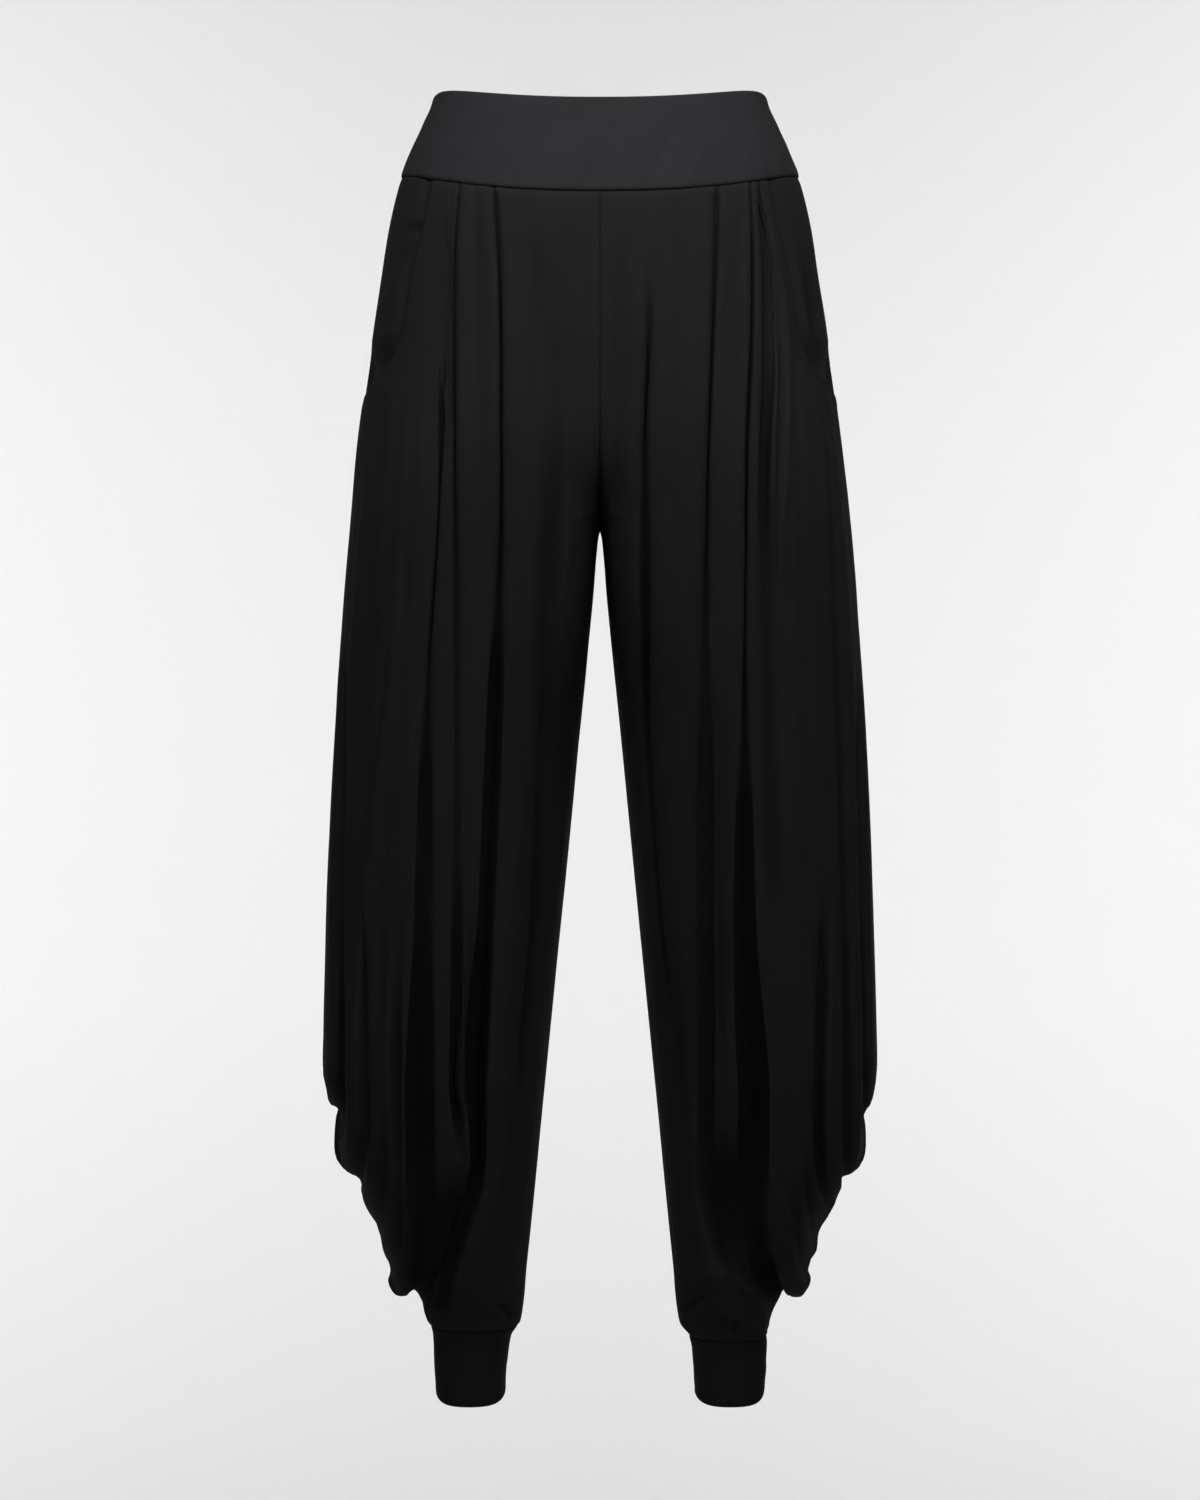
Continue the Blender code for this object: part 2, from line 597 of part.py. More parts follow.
def add_piece(name, outer, inner, wrapped=False, mirrored=False):
    """Make one closed piece of cloth, with its faces outwards and its own material."""
    points, faces = wall_mesh(outer, inner, wrapped)
    if mirrored:
        points = points * (-1.0, 1.0, 1.0)
    corners = points[faces]
    if np.einsum("ij,ij->i", corners[:, 0], np.cross(corners[:, 1], corners[:, 2])).sum() < 0.0:
        faces = faces[:, ::-1]
    mesh = bpy.data.meshes.new(name)
    mesh.from_pydata((points * MM).tolist(), [], faces.tolist())
    mesh.shade_smooth()
    mesh.set_sharp_from_angle(angle=SHARP_EDGE)
    mesh.materials.append(cloth_material(name))
    obj = bpy.data.objects.new(name, mesh)
    bpy.context.scene.collection.objects.link(obj)
    return obj


def cloth_material(name):
    """Plain matte black jersey."""
    material = bpy.data.materials.new(name + "_jersey")
    material.use_nodes = True
    shader = material.node_tree.nodes["Principled BSDF"]
    shader.inputs["Base Color"].default_value = CLOTH_COLOUR
    shader.inputs["Roughness"].default_value = CLOTH_ROUGHNESS
    return material


def main():
    for obj in list(bpy.data.objects):
        bpy.data.objects.remove(obj, do_unlink=True)
    add_piece("waistband_front", *waistband(back=False))
    add_piece("waistband_back", *waistband(back=True))
    for side in ("left", "right"):
        mirrored = side == "right"
        add_piece("front_" + side, *leg_panel(side, back=False), mirrored=mirrored)
        add_piece("back_" + side, *leg_panel(side, back=True), mirrored=mirrored)
        add_piece("hip_" + side, *hip_piece(), mirrored=mirrored)
        add_piece("cuff_" + side, *ankle_cuff(side), wrapped=True, mirrored=mirrored)


main()
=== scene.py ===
"""Draped trousers in black jersey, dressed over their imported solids.

A wide fitted waistband carries two pleated legs. The pleats open into long folds, which turn
outwards low on the legs and hang there as nested loops round the side, above narrow ankle cuffs.
Each piece of cloth is a fine surface on the form of its solid, with its small creases, its pressed
seams and a jersey finish.

The wearer faces -Y and the wearer's left is +X. Sizes are in millimetres until a mesh is made.
Each leg is worked out as if it were the left one, and the right leg is turned to -X at the end.
"""

import logging
import math
from collections.abc import Sequence
from dataclasses import dataclass, field, replace
from enum import Enum
from typing import ClassVar, NamedTuple

import bpy
import numpy as np
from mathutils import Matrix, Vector


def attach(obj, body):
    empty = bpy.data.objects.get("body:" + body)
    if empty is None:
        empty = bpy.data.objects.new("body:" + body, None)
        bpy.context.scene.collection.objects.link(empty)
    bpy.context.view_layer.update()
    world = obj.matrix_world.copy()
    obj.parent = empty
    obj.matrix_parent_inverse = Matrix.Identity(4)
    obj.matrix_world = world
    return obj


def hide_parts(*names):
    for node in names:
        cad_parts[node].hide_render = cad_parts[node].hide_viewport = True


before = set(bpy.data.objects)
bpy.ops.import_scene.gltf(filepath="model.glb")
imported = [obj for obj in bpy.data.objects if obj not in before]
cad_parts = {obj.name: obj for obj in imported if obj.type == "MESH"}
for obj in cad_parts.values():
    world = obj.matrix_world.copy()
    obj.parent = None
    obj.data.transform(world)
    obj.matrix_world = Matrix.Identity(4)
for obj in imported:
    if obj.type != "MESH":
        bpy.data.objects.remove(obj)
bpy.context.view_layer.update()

MM = 0.001
BODY = "root"

# How light the band and the cuffs are beside the legs: the band partly for its own doubled cloth and partly
# as painted light from above, the cuffs darker as painted shade where the light falls off near the floor
BAND_TONE_AND_PAINTED_LIGHT = 1.65
CUFF_PAINTED_SHADE = 0.78

Array = np.ndarray
Colour = tuple[float, float, float, float]
Point = tuple[float, float, float]
Socket = bpy.types.NodeSocket
Span = tuple[float, float]

log = logging.getLogger("trousers")


class Side(Enum):
    """The wearer's side that a piece is cut for."""

    LEFT = "left"
    RIGHT = "right"


class Face(Enum):
    """The front or the back of the trousers."""

    FRONT = "front"
    BACK = "back"

    @property
    def is_back(self) -> bool:
        """True for the back."""
        return self is Face.BACK


class Held(Enum):
    """How a piece of cloth is held."""

    GATHERED = "gathered"
    HUNG = "hung"
    STRETCHED = "stretched"


class Role(Enum):
    """What a column of a panel runs along: its edge, cloth between folds, or a fold's lip, root or drop."""

    EDGE = "edge"
    RIDGE = "ridge"
    LIP = "lip"
    ROOT = "root"
    DROP = "drop"


class Column(NamedTuple):
    """A column of a panel: what it runs along, and the number of the fold it belongs to."""

    role: Role
    owner: int


class Line(NamedTuple):
    """A line down a fold: its place, height and lean, as shares of the fold's width, depth and lean."""

    side: float
    height: float
    lean: float


class Section(NamedTuple):
    """One leg at a height: outer and inner edge, depth before and behind, and how far back its seam is."""

    z: float
    outer: float
    inner: float
    front: float
    back: float
    seam: float


class Fold(NamedTuple):
    """A long fold of one leg, with its place from the middle at the heights of FOLD_Z.

    It begins at the height start and comes in over eases. It hangs shut down to open, and opens to
    its own width and depth below. It fades out below fade. A sharp fold has 3 columns and a soft one
    has 1, after as many plain ones between it and the fold before. The last three values are the
    loop that it runs into, and how its place and depth differ at the back.
    """

    places: tuple[float, ...]
    start: float
    eases: float
    open: float
    fade: float
    wide: float
    wide_low: float
    deep: float
    deep_low: float
    columns: int
    plain: int
    loop: str
    back_shift: float
    back_deep: float


class Cut(NamedTuple):
    """A piece's cut, laid flat: the width and length it fits in, and its area, in metres."""

    wide: float
    long: float
    area: float


class Hem(NamedTuple):
    """A point of the leg's side from the cuff up, and the height over which folds swing out to it."""

    name: str
    x: float
    z: float
    turn: float


class Dent(NamedTuple):
    """A dimple of the yoke: its height, its distance from the pocket mouth, its reach and its depth."""

    z: float
    beyond: float
    tall: float
    wide: float
    deep: float


class Swing(NamedTuple):
    """The power that draws a column in to the cuff: least at the middle, and more to a power outwards."""

    least: float
    more: float
    power: float


class Merge(NamedTuple):
    """The heights where folds that share a loop start to merge, are one, part again and are apart."""

    starts: float
    whole: float
    parts: float
    apart: float


class Wave(NamedTuple):
    """An uneven wave of the cloth: its height, its length both ways, and its own seed and shift."""

    high: float
    wide: float
    tall: float
    seed: int = 0
    shift: float = 0.0


class Lamp(NamedTuple):
    """A soft rectangular light: its place, the point it faces, its size both ways and its watts."""

    name: str
    place: Point
    target: Point
    size: Span
    watts: float


class Draped(NamedTuple):
    """A panel in fine rows and the columns of its folds.

    It holds its points, their angles round the leg and their heights, the share of the folds that
    the cuff and the seams leave, how far the folds stand out, and how deep folds merge.
    """

    grid: Array
    angles: Array
    z: Array
    calm: Array
    out: Array
    basin: Array


class Crease(NamedTuple):
    """A small crease of the front or back, as seen from that side.

    The path is in steps of the view, as (down, across) pairs. A negative depth is a ridge. The lip is
    the share of the depth that the cloth rises on the outer side of the crease, and the two ends are
    the shares of its length over which it starts and fades.
    """

    path: tuple[tuple[float, float], ...]
    wide: float
    deep: float
    lip: float = 0.0
    starts: float = 0.2
    fades: float = 0.3

    def line(self) -> Array:
        """Points along the crease, evenly on a smooth line through its path.

        Returns:
            One (across, down) pair for each point.
        """
        down, across = np.array(self.path, float).T
        knots = np.concatenate([[0.0], np.cumsum(np.hypot(np.diff(down), np.diff(across)))])
        along = np.linspace(0.0, knots[-1], CREASE_POINTS)
        return np.stack([curve(knots, across, along), curve(knots, down, along)], axis=-1)

    def push(self, points: Array, line: Array, outward: float) -> Array:
        """How far the crease pushes points out: a bell of the distance from its line, and a lip beside it.

        Args:
            points: Places in the view, as (across, down).
            line: The crease's own line.
            outward: 1 where the leg's outer side is to the right in the view, and -1 to the left.

        Returns:
            Millimetres out for each point.
        """
        start, leg = line[:-1], np.diff(line, axis=0)
        from_start = points[:, None] - start[None]
        part = np.clip(np.sum(from_start * leg, axis=2) / np.sum(leg * leg, axis=1), 0.0, 1.0)
        gap = from_start - part[..., None] * leg
        distance = np.linalg.norm(gap, axis=2)
        nearest = np.argmin(distance, axis=1)
        row = np.arange(len(points))
        share = (nearest + part[row, nearest]) / len(leg)
        leg, gap = leg[nearest], gap[row, nearest]
        side = -np.sign(leg[:, 0] * gap[:, 1] - leg[:, 1] * gap[:, 0]) * outward
        signed = distance[row, nearest] * VIEW_STEP * side * np.where(leg[:, 1] < 0.0, -1.0, 1.0)
        half = self.wide / 2.0
        lip = self.lip * bell(signed - CREASE_LIP * half, half)
        ends = ramp(-share, 0.0, -self.starts) * ramp(share, 1.0, 1.0 - self.fades)
        return self.deep * ends * (lip - bell(signed, half))


SECTIONS = (
    Section(20, 128.5, 0.0, 87, 91, 0),
    Section(0, 130.0, 0.0, 90, 94, 0),
    Section(-20, 138.2, 0.0, 95, 100, 0),
    Section(-60, 154.8, 0.0, 105, 110, 0),
    Section(-100, 164.5, 0.0, 115, 121, 0),
    Section(-140, 170.6, 0.0, 120, 129, 0),
    Section(-200, 179.5, 0.0, 124, 136, 0),
    Section(-260, 187.8, 0.0, 125, 137, 0),
    Section(-330, 194.8, 0.0, 121, 131, 0),
    Section(-334, 195.2, 1.1, 120.7, 130.6, 0),
    Section(-390, 199.9, 5.9, 115, 123, 0),
    Section(-510, 207.5, 17.8, 106, 113, 1),
    Section(-640, 212.9, 30.6, 99, 106, 3),
    Section(-750, 216.0, 41.5, 91, 97, 5),
    Section(-785, 206.0, 45.0, 85, 91, 5),
    Section(-838, 186.0, 50.1, 76, 81, 6),
    Section(-880, 173.0, 54.3, 65, 70, 7),
    Section(-912, 160.0, 57.6, 55, 60, 8),
    Section(-930, 147.0, 59.0, 48, 53, 8),
    Section(-950, 134.5, 62.0, 40, 44, 8),
    Section(-961, 131.0, 69.0, 37, 40, 8),
    Section(-975, 130.8, 71.5, 35, 38, 8),
    Section(-1012, 128.4, 74.0, 32, 34, 8),
)

FOLD_Z = (-75, -160, -300, -460, -620, -760)
FOLDS = {
    Side.RIGHT: {
        "hollow": Fold((36, 36, 36, 40, 46, 58), -230, 130, -330, -700, 14, 16, 6, 8, 1, 2, "", 6, 1.1),
        "main": Fold((80, 75, 73, 78, 85, 94), -58, 14, -300, -999, 13, 17, 10, 15, 3, 2, "5", -5, 0.9),
        "branch_b": Fold((106, 110, 108, 107, 107, 109), -58, 14, -460, -760, 8, 9, 7, 8, 3, 1, "5", -3, 1.2),
        "branch_a": Fold(
            (113, 117, 119, 129, 133, 137),
            -200, 60, -380, -999, 14, 24, 7, 13, 3, 1, "5", 2, 0.8,
        ),
        "soft_4": Fold((124, 130, 140, 148, 151, 153), -640, 90, -680, -999, 9, 16, 1, 2, 1, 2, "4", 6, 1.1),
        "soft_3": Fold(
            (133, 142, 154, 161, 164, 165),
            -740, 90, -780, -999, 8, 12, 1, 1.5, 1, 1, "3", 3, 1.4,
        ),
        "fold_2": Fold((142, 154, 168, 178, 180, 180), -580, 90, -640, -999, 8, 12, 2, 3, 3, 1, "2", -3, 1.0),
        "fold_1": Fold((150, 165, 182, 195, 198, 198), -420, 60, -440, -999, 6, 10, 4, 7, 3, 1, "1", -4, 0.8),
    },
    Side.LEFT: {
        "hollow": Fold((36, 37, 33, 34, 44, 57), -120, 130, -200, -640, 8, 11, 6, 6, 3, 1, "", 5, 1.2),
        "main": Fold((89, 86, 80, 78, 77, 79), -58, 14, -380, -835, 11, 14, 5.5, 7, 3, 1, "5", 7, 1.3),
        "wide": Fold((114, 115, 109, 108, 109, 117), -58, 14, -420, -999, 16, 25, 11, 17, 3, 2, "5", -6, 0.8),
        "thin": Fold((121, 127, 125, 127, 131, 139), -58, 14, -360, -580, 6, 7, 6, 4, 1, 1, "", 2, 1.5),
        "soft_4": Fold((127, 134, 138, 141, 145, 149), -800, 90, -820, -999, 8, 12, 2, 4, 1, 1, "4", 4, 1.2),
        "soft_3": Fold((134, 142, 150, 154, 156, 157), -780, 90, -800, -999, 8, 12, 1, 2, 1, 1, "3", 5, 1.3),
        "fold_3": Fold((141, 150, 162, 168, 169, 168), -590, 90, -640, -999, 7, 10, 3, 5, 3, 1, "", 4, 0.8),
        "fold_2": Fold((148, 160, 174, 181, 186, 190), -230, 90, -300, -999, 7, 10, 3, 5, 3, 1, "2", -3, 1.2),
        "fold_1": Fold((153, 167, 186, 197, 201, 204), -440, 60, -470, -999, 6, 9, 4, 6, 3, 1, "1", -4, 0.9),
    },
}

HEM = (
    Hem("lip5", 141.0, -933.5, 110),
    Hem("root5", 146.5, -925.5, 110),
    Hem("drop5", 151.0, -931.0, 100),
    Hem("low5", 160.8, -930.5, 95),
    Hem("belly5", 166.8, -919.0, 88),
    Hem("root4", 163.0, -909.5, 82),
    Hem("belly4", 170.2, -895.5, 75),
    Hem("root3", 172.6, -878.5, 68),
    Hem("belly3", 185.0, -858.5, 62),
    Hem("lip2", 187.2, -845.0, 60),
    Hem("root2", 184.0, -833.0, 60),
    Hem("drop2", 191.0, -835.5, 56),
    Hem("belly2", 203.4, -829.0, 52),
    Hem("lip1", 207.2, -791.0, 48),
    Hem("root1", 205.6, -777.0, 44),
    Hem("drop1", 209.2, -780.0, 42),
    Hem("belly1", 214.6, -766.5, 36),
    Hem("side", 216.0, -750.0, 0),
)

# The view that the creases' places are read from: its step at the origin, the middle, the height of
# the waistband's top at the sides, and the height and distance of the eye
VIEW_STEP = 0.78
VIEW_MIDDLE = 600.0
VIEW_TOP = 104.0
EYE_Z = -504.0
EYE_FAR = 2400.0

FRONT_CREASES = {
    Side.RIGHT: (
        Crease(((186, 473), (225, 473), (262, 476)), 5, 0.9, 0.3),
        Crease(((200, 450), (300, 444), (400, 443), (500, 437)), 15, 1.6, 0.0, 0.3, 0.3),
        Crease(((215, 560), (300, 560), (420, 560)), 52, 1.5, 0.0, 0.3, 0.4),
        Crease(((200, 409), (300, 397), (380, 384)), 9, 1.0, 0.2),
        Crease(((229, 402), (233, 411), (236, 419)), 4, 1.2, 0.5, 0.4, 0.2),
        Crease(((300, 375), (345, 372), (389, 369)), 5, 0.9, 0.3),
        Crease(((900, 475), (980, 474), (1060, 470), (1140, 462)), 18, 5.0, 0.0, 0.4, 0.3),
        Crease(((560, 374), (620, 373), (690, 371)), 8, 1.1, 0.1),
        Crease(((540, 404), (580, 405), (630, 405)), 7, 0.9, 0.0),
        Crease(
            ((640, 399), (720, 388), (780, 378), (920, 364), (1040, 353), (1110, 345)),
            9, -2.2, 0.0, 0.2, 0.15,
        ),
        Crease(((640, 388), (740, 375), (850, 362)), 7, 1.4, 0.3),
        Crease(((930, 385), (980, 381), (1030, 375), (1070, 367)), 7, 1.6, 0.3),
        Crease(((700, 343), (780, 341), (900, 337), (1010, 333), (1084, 334)), 8, 2.4, 0.2),
        Crease(((960, 333), (1010, 337), (1060, 338)), 5, -1.3, 0.0),
        Crease(((1150, 419), (1200, 416), (1270, 414)), 5, -1.6, 0.0),
        Crease(((1030, 396), (1110, 397), (1180, 400)), 10, 1.2, 0.2),
        Crease(((1100, 366), (1150, 372), (1195, 384)), 8, 1.1, 0.2),
        Crease(((440, 575), (540, 576), (640, 572)), 10, 1.4, 0.1),
        Crease(((620, 570), (760, 560), (900, 548), (1020, 536)), 12, 1.8, 0.0, 0.3, 0.3),
        Crease(((300, 552), (430, 553), (520, 554), (640, 551)), 10, 1.5, 0.1),
        Crease(((230, 532), (300, 536), (380, 530), (470, 524)), 18, 1.5, 0.0),
        Crease(((640, 512), (760, 508), (880, 502), (1010, 492)), 9, 1.0, 0.1),
        Crease(((1010, 528), (1120, 518), (1230, 508)), 9, 1.0, 0.0),
        Crease(((1185, 401), (1215, 399), (1250, 400), (1280, 406)), 17, 3.6, 0.1, 0.35, 0.2),
        Crease(((1150, 462), (1200, 455), (1250, 447), (1290, 440)), 20, 3.0, 0.0, 0.4, 0.3),
        Crease(((1303, 498), (1314, 507), (1325, 514)), 7, 2.6, 0.5),
        Crease(((1308, 470), (1318, 484), (1322, 498)), 7, 1.8, 0.4),
        Crease(((1290, 446), (1303, 440), (1316, 438)), 7, 2.0, 0.2),
        Crease(((1326, 440), (1323, 458), (1327, 478)), 6, 1.6, 0.3),
    ),
    Side.LEFT: (
        Crease(
            ((200, 625), (240, 624), (320, 621), (420, 613), (480, 612), (530, 614)),
            13, 2.6, 0.2, 0.3, 0.2,
        ),
        Crease(
            ((195, 760), (230, 766), (298, 772), (334, 774), (444, 766), (534, 764), (600, 765)),
            6, 4.2, 0.3, 0.1, 0.3,
        ),
        Crease(
            ((225, 766), (316, 780), (371, 782), (489, 779), (540, 775), (610, 776)),
            6, 3.4, 0.5, 0.15, 0.3,
        ),
        Crease(((300, 798), (350, 807), (405, 816)), 5, 1.3, 0.3),
        Crease(((190, 790), (250, 799), (330, 812)), 6, 0.8, 0.2),
        Crease(((190, 700), (240, 699), (300, 697)), 7, -0.6, 0.0),
        Crease(((300, 650), (330, 651), (420, 650)), 7, 0.8, 0.0),
        Crease(((420, 672), (560, 674), (700, 672)), 9, 0.7, 0.0),
        Crease(((560, 684), (700, 688), (900, 690), (1100, 697), (1240, 705)), 24, 3.0, 0.0),
        Crease(((920, 648), (960, 655), (1000, 660), (1060, 663)), 7, 1.2, 0.2),
        Crease(((880, 668), (1000, 672), (1120, 676)), 9, 0.9, 0.0),
        Crease(((880, 716), (1000, 718), (1090, 720)), 7, 1.0, 0.2),
        Crease(((560, 806), (700, 809), (820, 812), (920, 808)), 9, 0.8, 0.0, 0.3, 0.3),
        Crease(((640, 796), (700, 800), (780, 804)), 6, 0.7, 0.2),
        Crease(
            (
                (430, 829), (560, 836), (700, 842), (840, 845),
                (960, 849), (1080, 852), (1140, 845), (1176, 839),
            ),
            8, 1.9, 0.4,
        ),
        Crease(
            ((890, 825), (938, 824), (1050, 820), (1110, 817), (1168, 819), (1196, 828)),
            8, 2.4, 0.4, 0.25, 0.2,
        ),
        Crease(((700, 857), (820, 861), (960, 864), (1060, 866)), 6, 1.6, 0.3),
        Crease(((1120, 722), (1170, 726), (1205, 736)), 30, 2.5, 0.0, 0.4, 0.3),
        Crease(((640, 714), (760, 716), (940, 717), (1120, 722)), 34, 3.8, 0.0, 0.3, 0.3),
        Crease(((1268, 696), (1276, 714), (1280, 734)), 20, -3.2, 0.0, 0.3, 0.3),
        Crease(((1240, 775), (1249, 782), (1256, 790)), 8, 2.0, 0.6, 0.3, 0.3),
        Crease(((1215, 785), (1224, 793), (1232, 800)), 5, -1.2, 0.0),
        Crease(((1170, 778), (1200, 790), (1222, 806)), 8, 0.9, 0.0),
        Crease(((1296, 708), (1302, 695), (1317, 683)), 7, 3.0, 0.4),
        Crease(((1320, 713), (1324, 729), (1328, 746)), 8, 3.0, 0.4),
        Crease(((1336, 743), (1338, 750), (1339, 757)), 5, 1.6, 0.3),
        Crease(((1290, 735), (1304, 752), (1322, 766)), 7, 1.8, 0.3),
        Crease(((1310, 690), (1322, 704), (1332, 722)), 7, 1.6, 0.3),
    ),
}

BACK_CREASES = {
    Side.RIGHT: (
        Crease(((190, 560), (240, 562), (330, 566)), 9, 0.9, 0.1),
        Crease(((230, 470), (330, 468), (430, 466)), 7, 0.9, 0.2),
        Crease(((360, 395), (470, 386), (590, 378)), 9, 1.1, 0.1),
        Crease(((420, 540), (470, 556), (520, 574)), 9, 1.0, 0.2),
        Crease(((560, 556), (700, 548), (860, 538), (980, 528)), 10, 1.4, 0.1),
        Crease(((640, 400), (760, 386), (900, 370), (1060, 352)), 9, -2.0, 0.0, 0.2, 0.2),
        Crease(((700, 345), (800, 343), (920, 339), (1070, 336)), 8, 2.1, 0.2),
        Crease(((840, 500), (960, 492), (1080, 482)), 8, 1.2, 0.1),
        Crease(((1100, 370), (1150, 376), (1200, 388)), 8, 1.2, 0.2),
        Crease(((1120, 510), (1190, 506), (1260, 500)), 8, 0.9, 0.0),
        Crease(((1304, 500), (1316, 508), (1326, 515)), 6, 1.2, 0.4),
        Crease(((1310, 455), (1320, 470), (1324, 486)), 6, 1.1, 0.4),
    ),
    Side.LEFT: (
        Crease(((200, 640), (260, 636), (340, 630)), 10, 1.0, 0.1),
        Crease(((240, 742), (340, 744), (440, 745)), 7, 0.9, 0.2),
        Crease(((360, 806), (470, 816), (590, 824)), 8, 1.0, 0.1),
        Crease(((430, 656), (480, 642), (525, 626)), 9, 1.0, 0.2),
        Crease(((580, 645), (720, 654), (880, 664), (990, 672)), 10, 1.3, 0.1),
        Crease(((660, 796), (780, 810), (900, 826), (1040, 846)), 9, -1.8, 0.0, 0.2, 0.2),
        Crease(((700, 855), (820, 858), (960, 862), (1070, 864)), 7, 2.0, 0.2),
        Crease(((860, 702), (980, 708), (1100, 714)), 8, 1.2, 0.1),
        Crease(((1110, 826), (1150, 822), (1195, 814)), 8, 1.3, 0.2),
        Crease(((1140, 690), (1200, 694), (1262, 700)), 8, 0.9, 0.0),
        Crease(((1302, 700), (1314, 692), (1326, 686)), 6, 1.4, 0.4),
        Crease(((1316, 722), (1326, 738), (1334, 750)), 6, 1.2, 0.4),
    ),
}

CREASES = {Face.FRONT: FRONT_CREASES, Face.BACK: BACK_CREASES}

# A crease's points, how many widths it reaches, and how many half widths away its lip is
CREASE_POINTS = 33
CREASE_REACH = 4.0
CREASE_LIP = 1.7

# Cells each way before an uneven field repeats
DRIFT_CELLS = 64


def ramp(z: Array, top: float | Array, bottom: float | Array) -> Array:
    """0 above top and 1 below bottom, by the share s between them as s squared times (3 - 2s)."""
    share = np.clip((top - z) / (top - bottom), 0.0, 1.0)
    return share * share * (3.0 - 2.0 * share)


def beyond(distance: Array, near: float, far: float) -> Array:
    """0 nearer than near and 1 farther than far, eased between them as a ramp is."""
    return ramp(-distance, -near, -far)


def bell(distance: Array, wide: float | Array) -> Array:
    """A bell about zero: exp(-(distance / wide) squared)."""
    return np.exp(-((distance / wide) ** 2))


def curve(knots: Sequence[float] | Array, values: Sequence[float] | Array, at: Array) -> Array:
    """A smooth line through values that never swings past them, level beyond its ends.

    Each span is a cubic whose end slopes are the harmonic means of the slopes on both sides.

    Args:
        knots: Places of the values, in any order.
        values: One value for each knot.
        at: Places to read.

    Returns:
        The line's value at each place.
    """
    order = np.argsort(knots)
    x = np.asarray(knots, float)[order]
    y = np.asarray(values, float)[order]
    step = np.diff(x)
    slope = np.diff(y) / step
    product = slope[:-1] * slope[1:]
    safe = np.where(product > 0.0, slope[:-1] + slope[1:], 1.0)
    tangent = np.zeros_like(y)
    tangent[1:-1] = np.where(product > 0.0, 2.0 * product / safe, 0.0)
    tangent[0] = slope[0]
    tangent[-1] = slope[-1]
    at = np.clip(at, x[0], x[-1])
    i = np.clip(np.searchsorted(x, at, side="right") - 1, 0, len(step) - 1)
    t = (at - x[i]) / step[i]
    rest = 1.0 - t
    ends = y[i] * rest * rest * (1.0 + 2.0 * t) + y[i + 1] * t * t * (3.0 - 2.0 * t)
    return ends + step[i] * t * rest * (tangent[i] * rest - tangent[i + 1] * t)


def refined(table: Sequence[float], count: int) -> Array:
    """The table's values read at count even places along it, on the smooth line through them."""
    return curve(range(len(table)), table, np.linspace(0.0, len(table) - 1.0, count))


def unit(vectors: Array) -> Array:
    """The vectors, each divided by its length."""
    return vectors / np.maximum(np.linalg.norm(vectors, axis=-1, keepdims=True), 1e-9)


def normals(grid: Array, is_back: bool) -> Array:
    """Unit normals of a grid, the cross product of its two directions, turned away from the body.

    Args:
        grid: Rows down by columns outwards of points.
        is_back: The grid is on the back.

    Returns:
        One unit vector for each point.
    """
    across = np.gradient(grid, axis=1)
    down = np.gradient(grid, axis=0)
    return unit(np.cross(across, down) if is_back else np.cross(down, across))


def run_length(grid: Array, axis: int) -> Array:
    """Distance along the surface from the first row or column, as the running sum of its steps.

    Args:
        grid: Rows by columns of points.
        axis: 0 to go down the rows, 1 to go across the columns.

    Returns:
        The distance of each point.
    """
    step = np.linalg.norm(np.diff(grid, axis=axis), axis=-1)
    start = np.zeros_like(np.take(step, [0], axis=axis))
    return np.concatenate([start, np.cumsum(step, axis=axis)], axis=axis)


def to_nearer_end(run: Array, axis: int) -> Array:
    """Distance to the nearer end of each row or column, from a running distance along it."""
    return np.minimum(run, np.take(run, [-1], axis=axis) - run)


def through_columns(values: Array, places: Array, spans: Array) -> Array:
    """Values between the columns of a grid, on smooth curves along its rows.

    Each span is a cubic Hermite curve. The slope at a column is the mean of the slopes on both sides,
    the shorter span counting more.

    Args:
        values: Rows by columns of numbers or points.
        places: Where to read each row, as a column number with its fraction.
        spans: Distance along the cloth between neighbouring columns, in each row.

    Returns:
        Rows by places of numbers or points.
    """
    numbers = values[..., None] if values.ndim == 2 else values
    length = np.maximum(spans, 1e-6)[..., None]
    slope = np.diff(numbers, axis=1) / length
    weight = length[:, :-1] + length[:, 1:]
    tangent = np.empty_like(numbers)
    tangent[:, 1:-1] = (slope[:, :-1] * length[:, 1:] + slope[:, 1:] * length[:, :-1]) / weight
    tangent[:, 0] = slope[:, 0]
    tangent[:, -1] = slope[:, -1]
    span = np.minimum(places.astype(int), numbers.shape[1] - 2)
    t = (places - span)[None, :, None]
    rest = 1.0 - t
    before = numbers[:, span] * rest * rest * (1.0 + 2.0 * t)
    after = numbers[:, span + 1] * t * t * (3.0 - 2.0 * t)
    read = before + after + length[:, span] * t * rest * (tangent[:, span] * rest - tangent[:, span + 1] * t)
    return read[..., 0] if values.ndim == 2 else read


def drift(u: Array, v: Array, seed: int, wide: float, tall: float) -> Array:
    """A smooth uneven field: set values on cells wide by tall, eased between them.

    Args:
        u: First distance of each point.
        v: Second distance of each point.
        seed: What the set values are drawn from.
        wide: A cell's length in the first direction.
        tall: A cell's length in the second.

    Returns:
        A value between -1 and 1 for each point.
    """
    values = np.random.default_rng(seed).uniform(-1.0, 1.0, (DRIFT_CELLS, DRIFT_CELLS))
    x = u / wide
    y = v / tall
    i = np.floor(x).astype(int)
    j = np.floor(y).astype(int)
    s = x - i
    t = y - j
    s = s * s * (3.0 - 2.0 * s)
    t = t * t * (3.0 - 2.0 * t)
    i, j, beside, below = (number % DRIFT_CELLS for number in (i, j, i + 1, j + 1))
    upper = values[i, j] * (1.0 - s) + values[beside, j] * s
    lower = values[i, below] * (1.0 - s) + values[beside, below] * s
    return upper * (1.0 - t) + lower * t


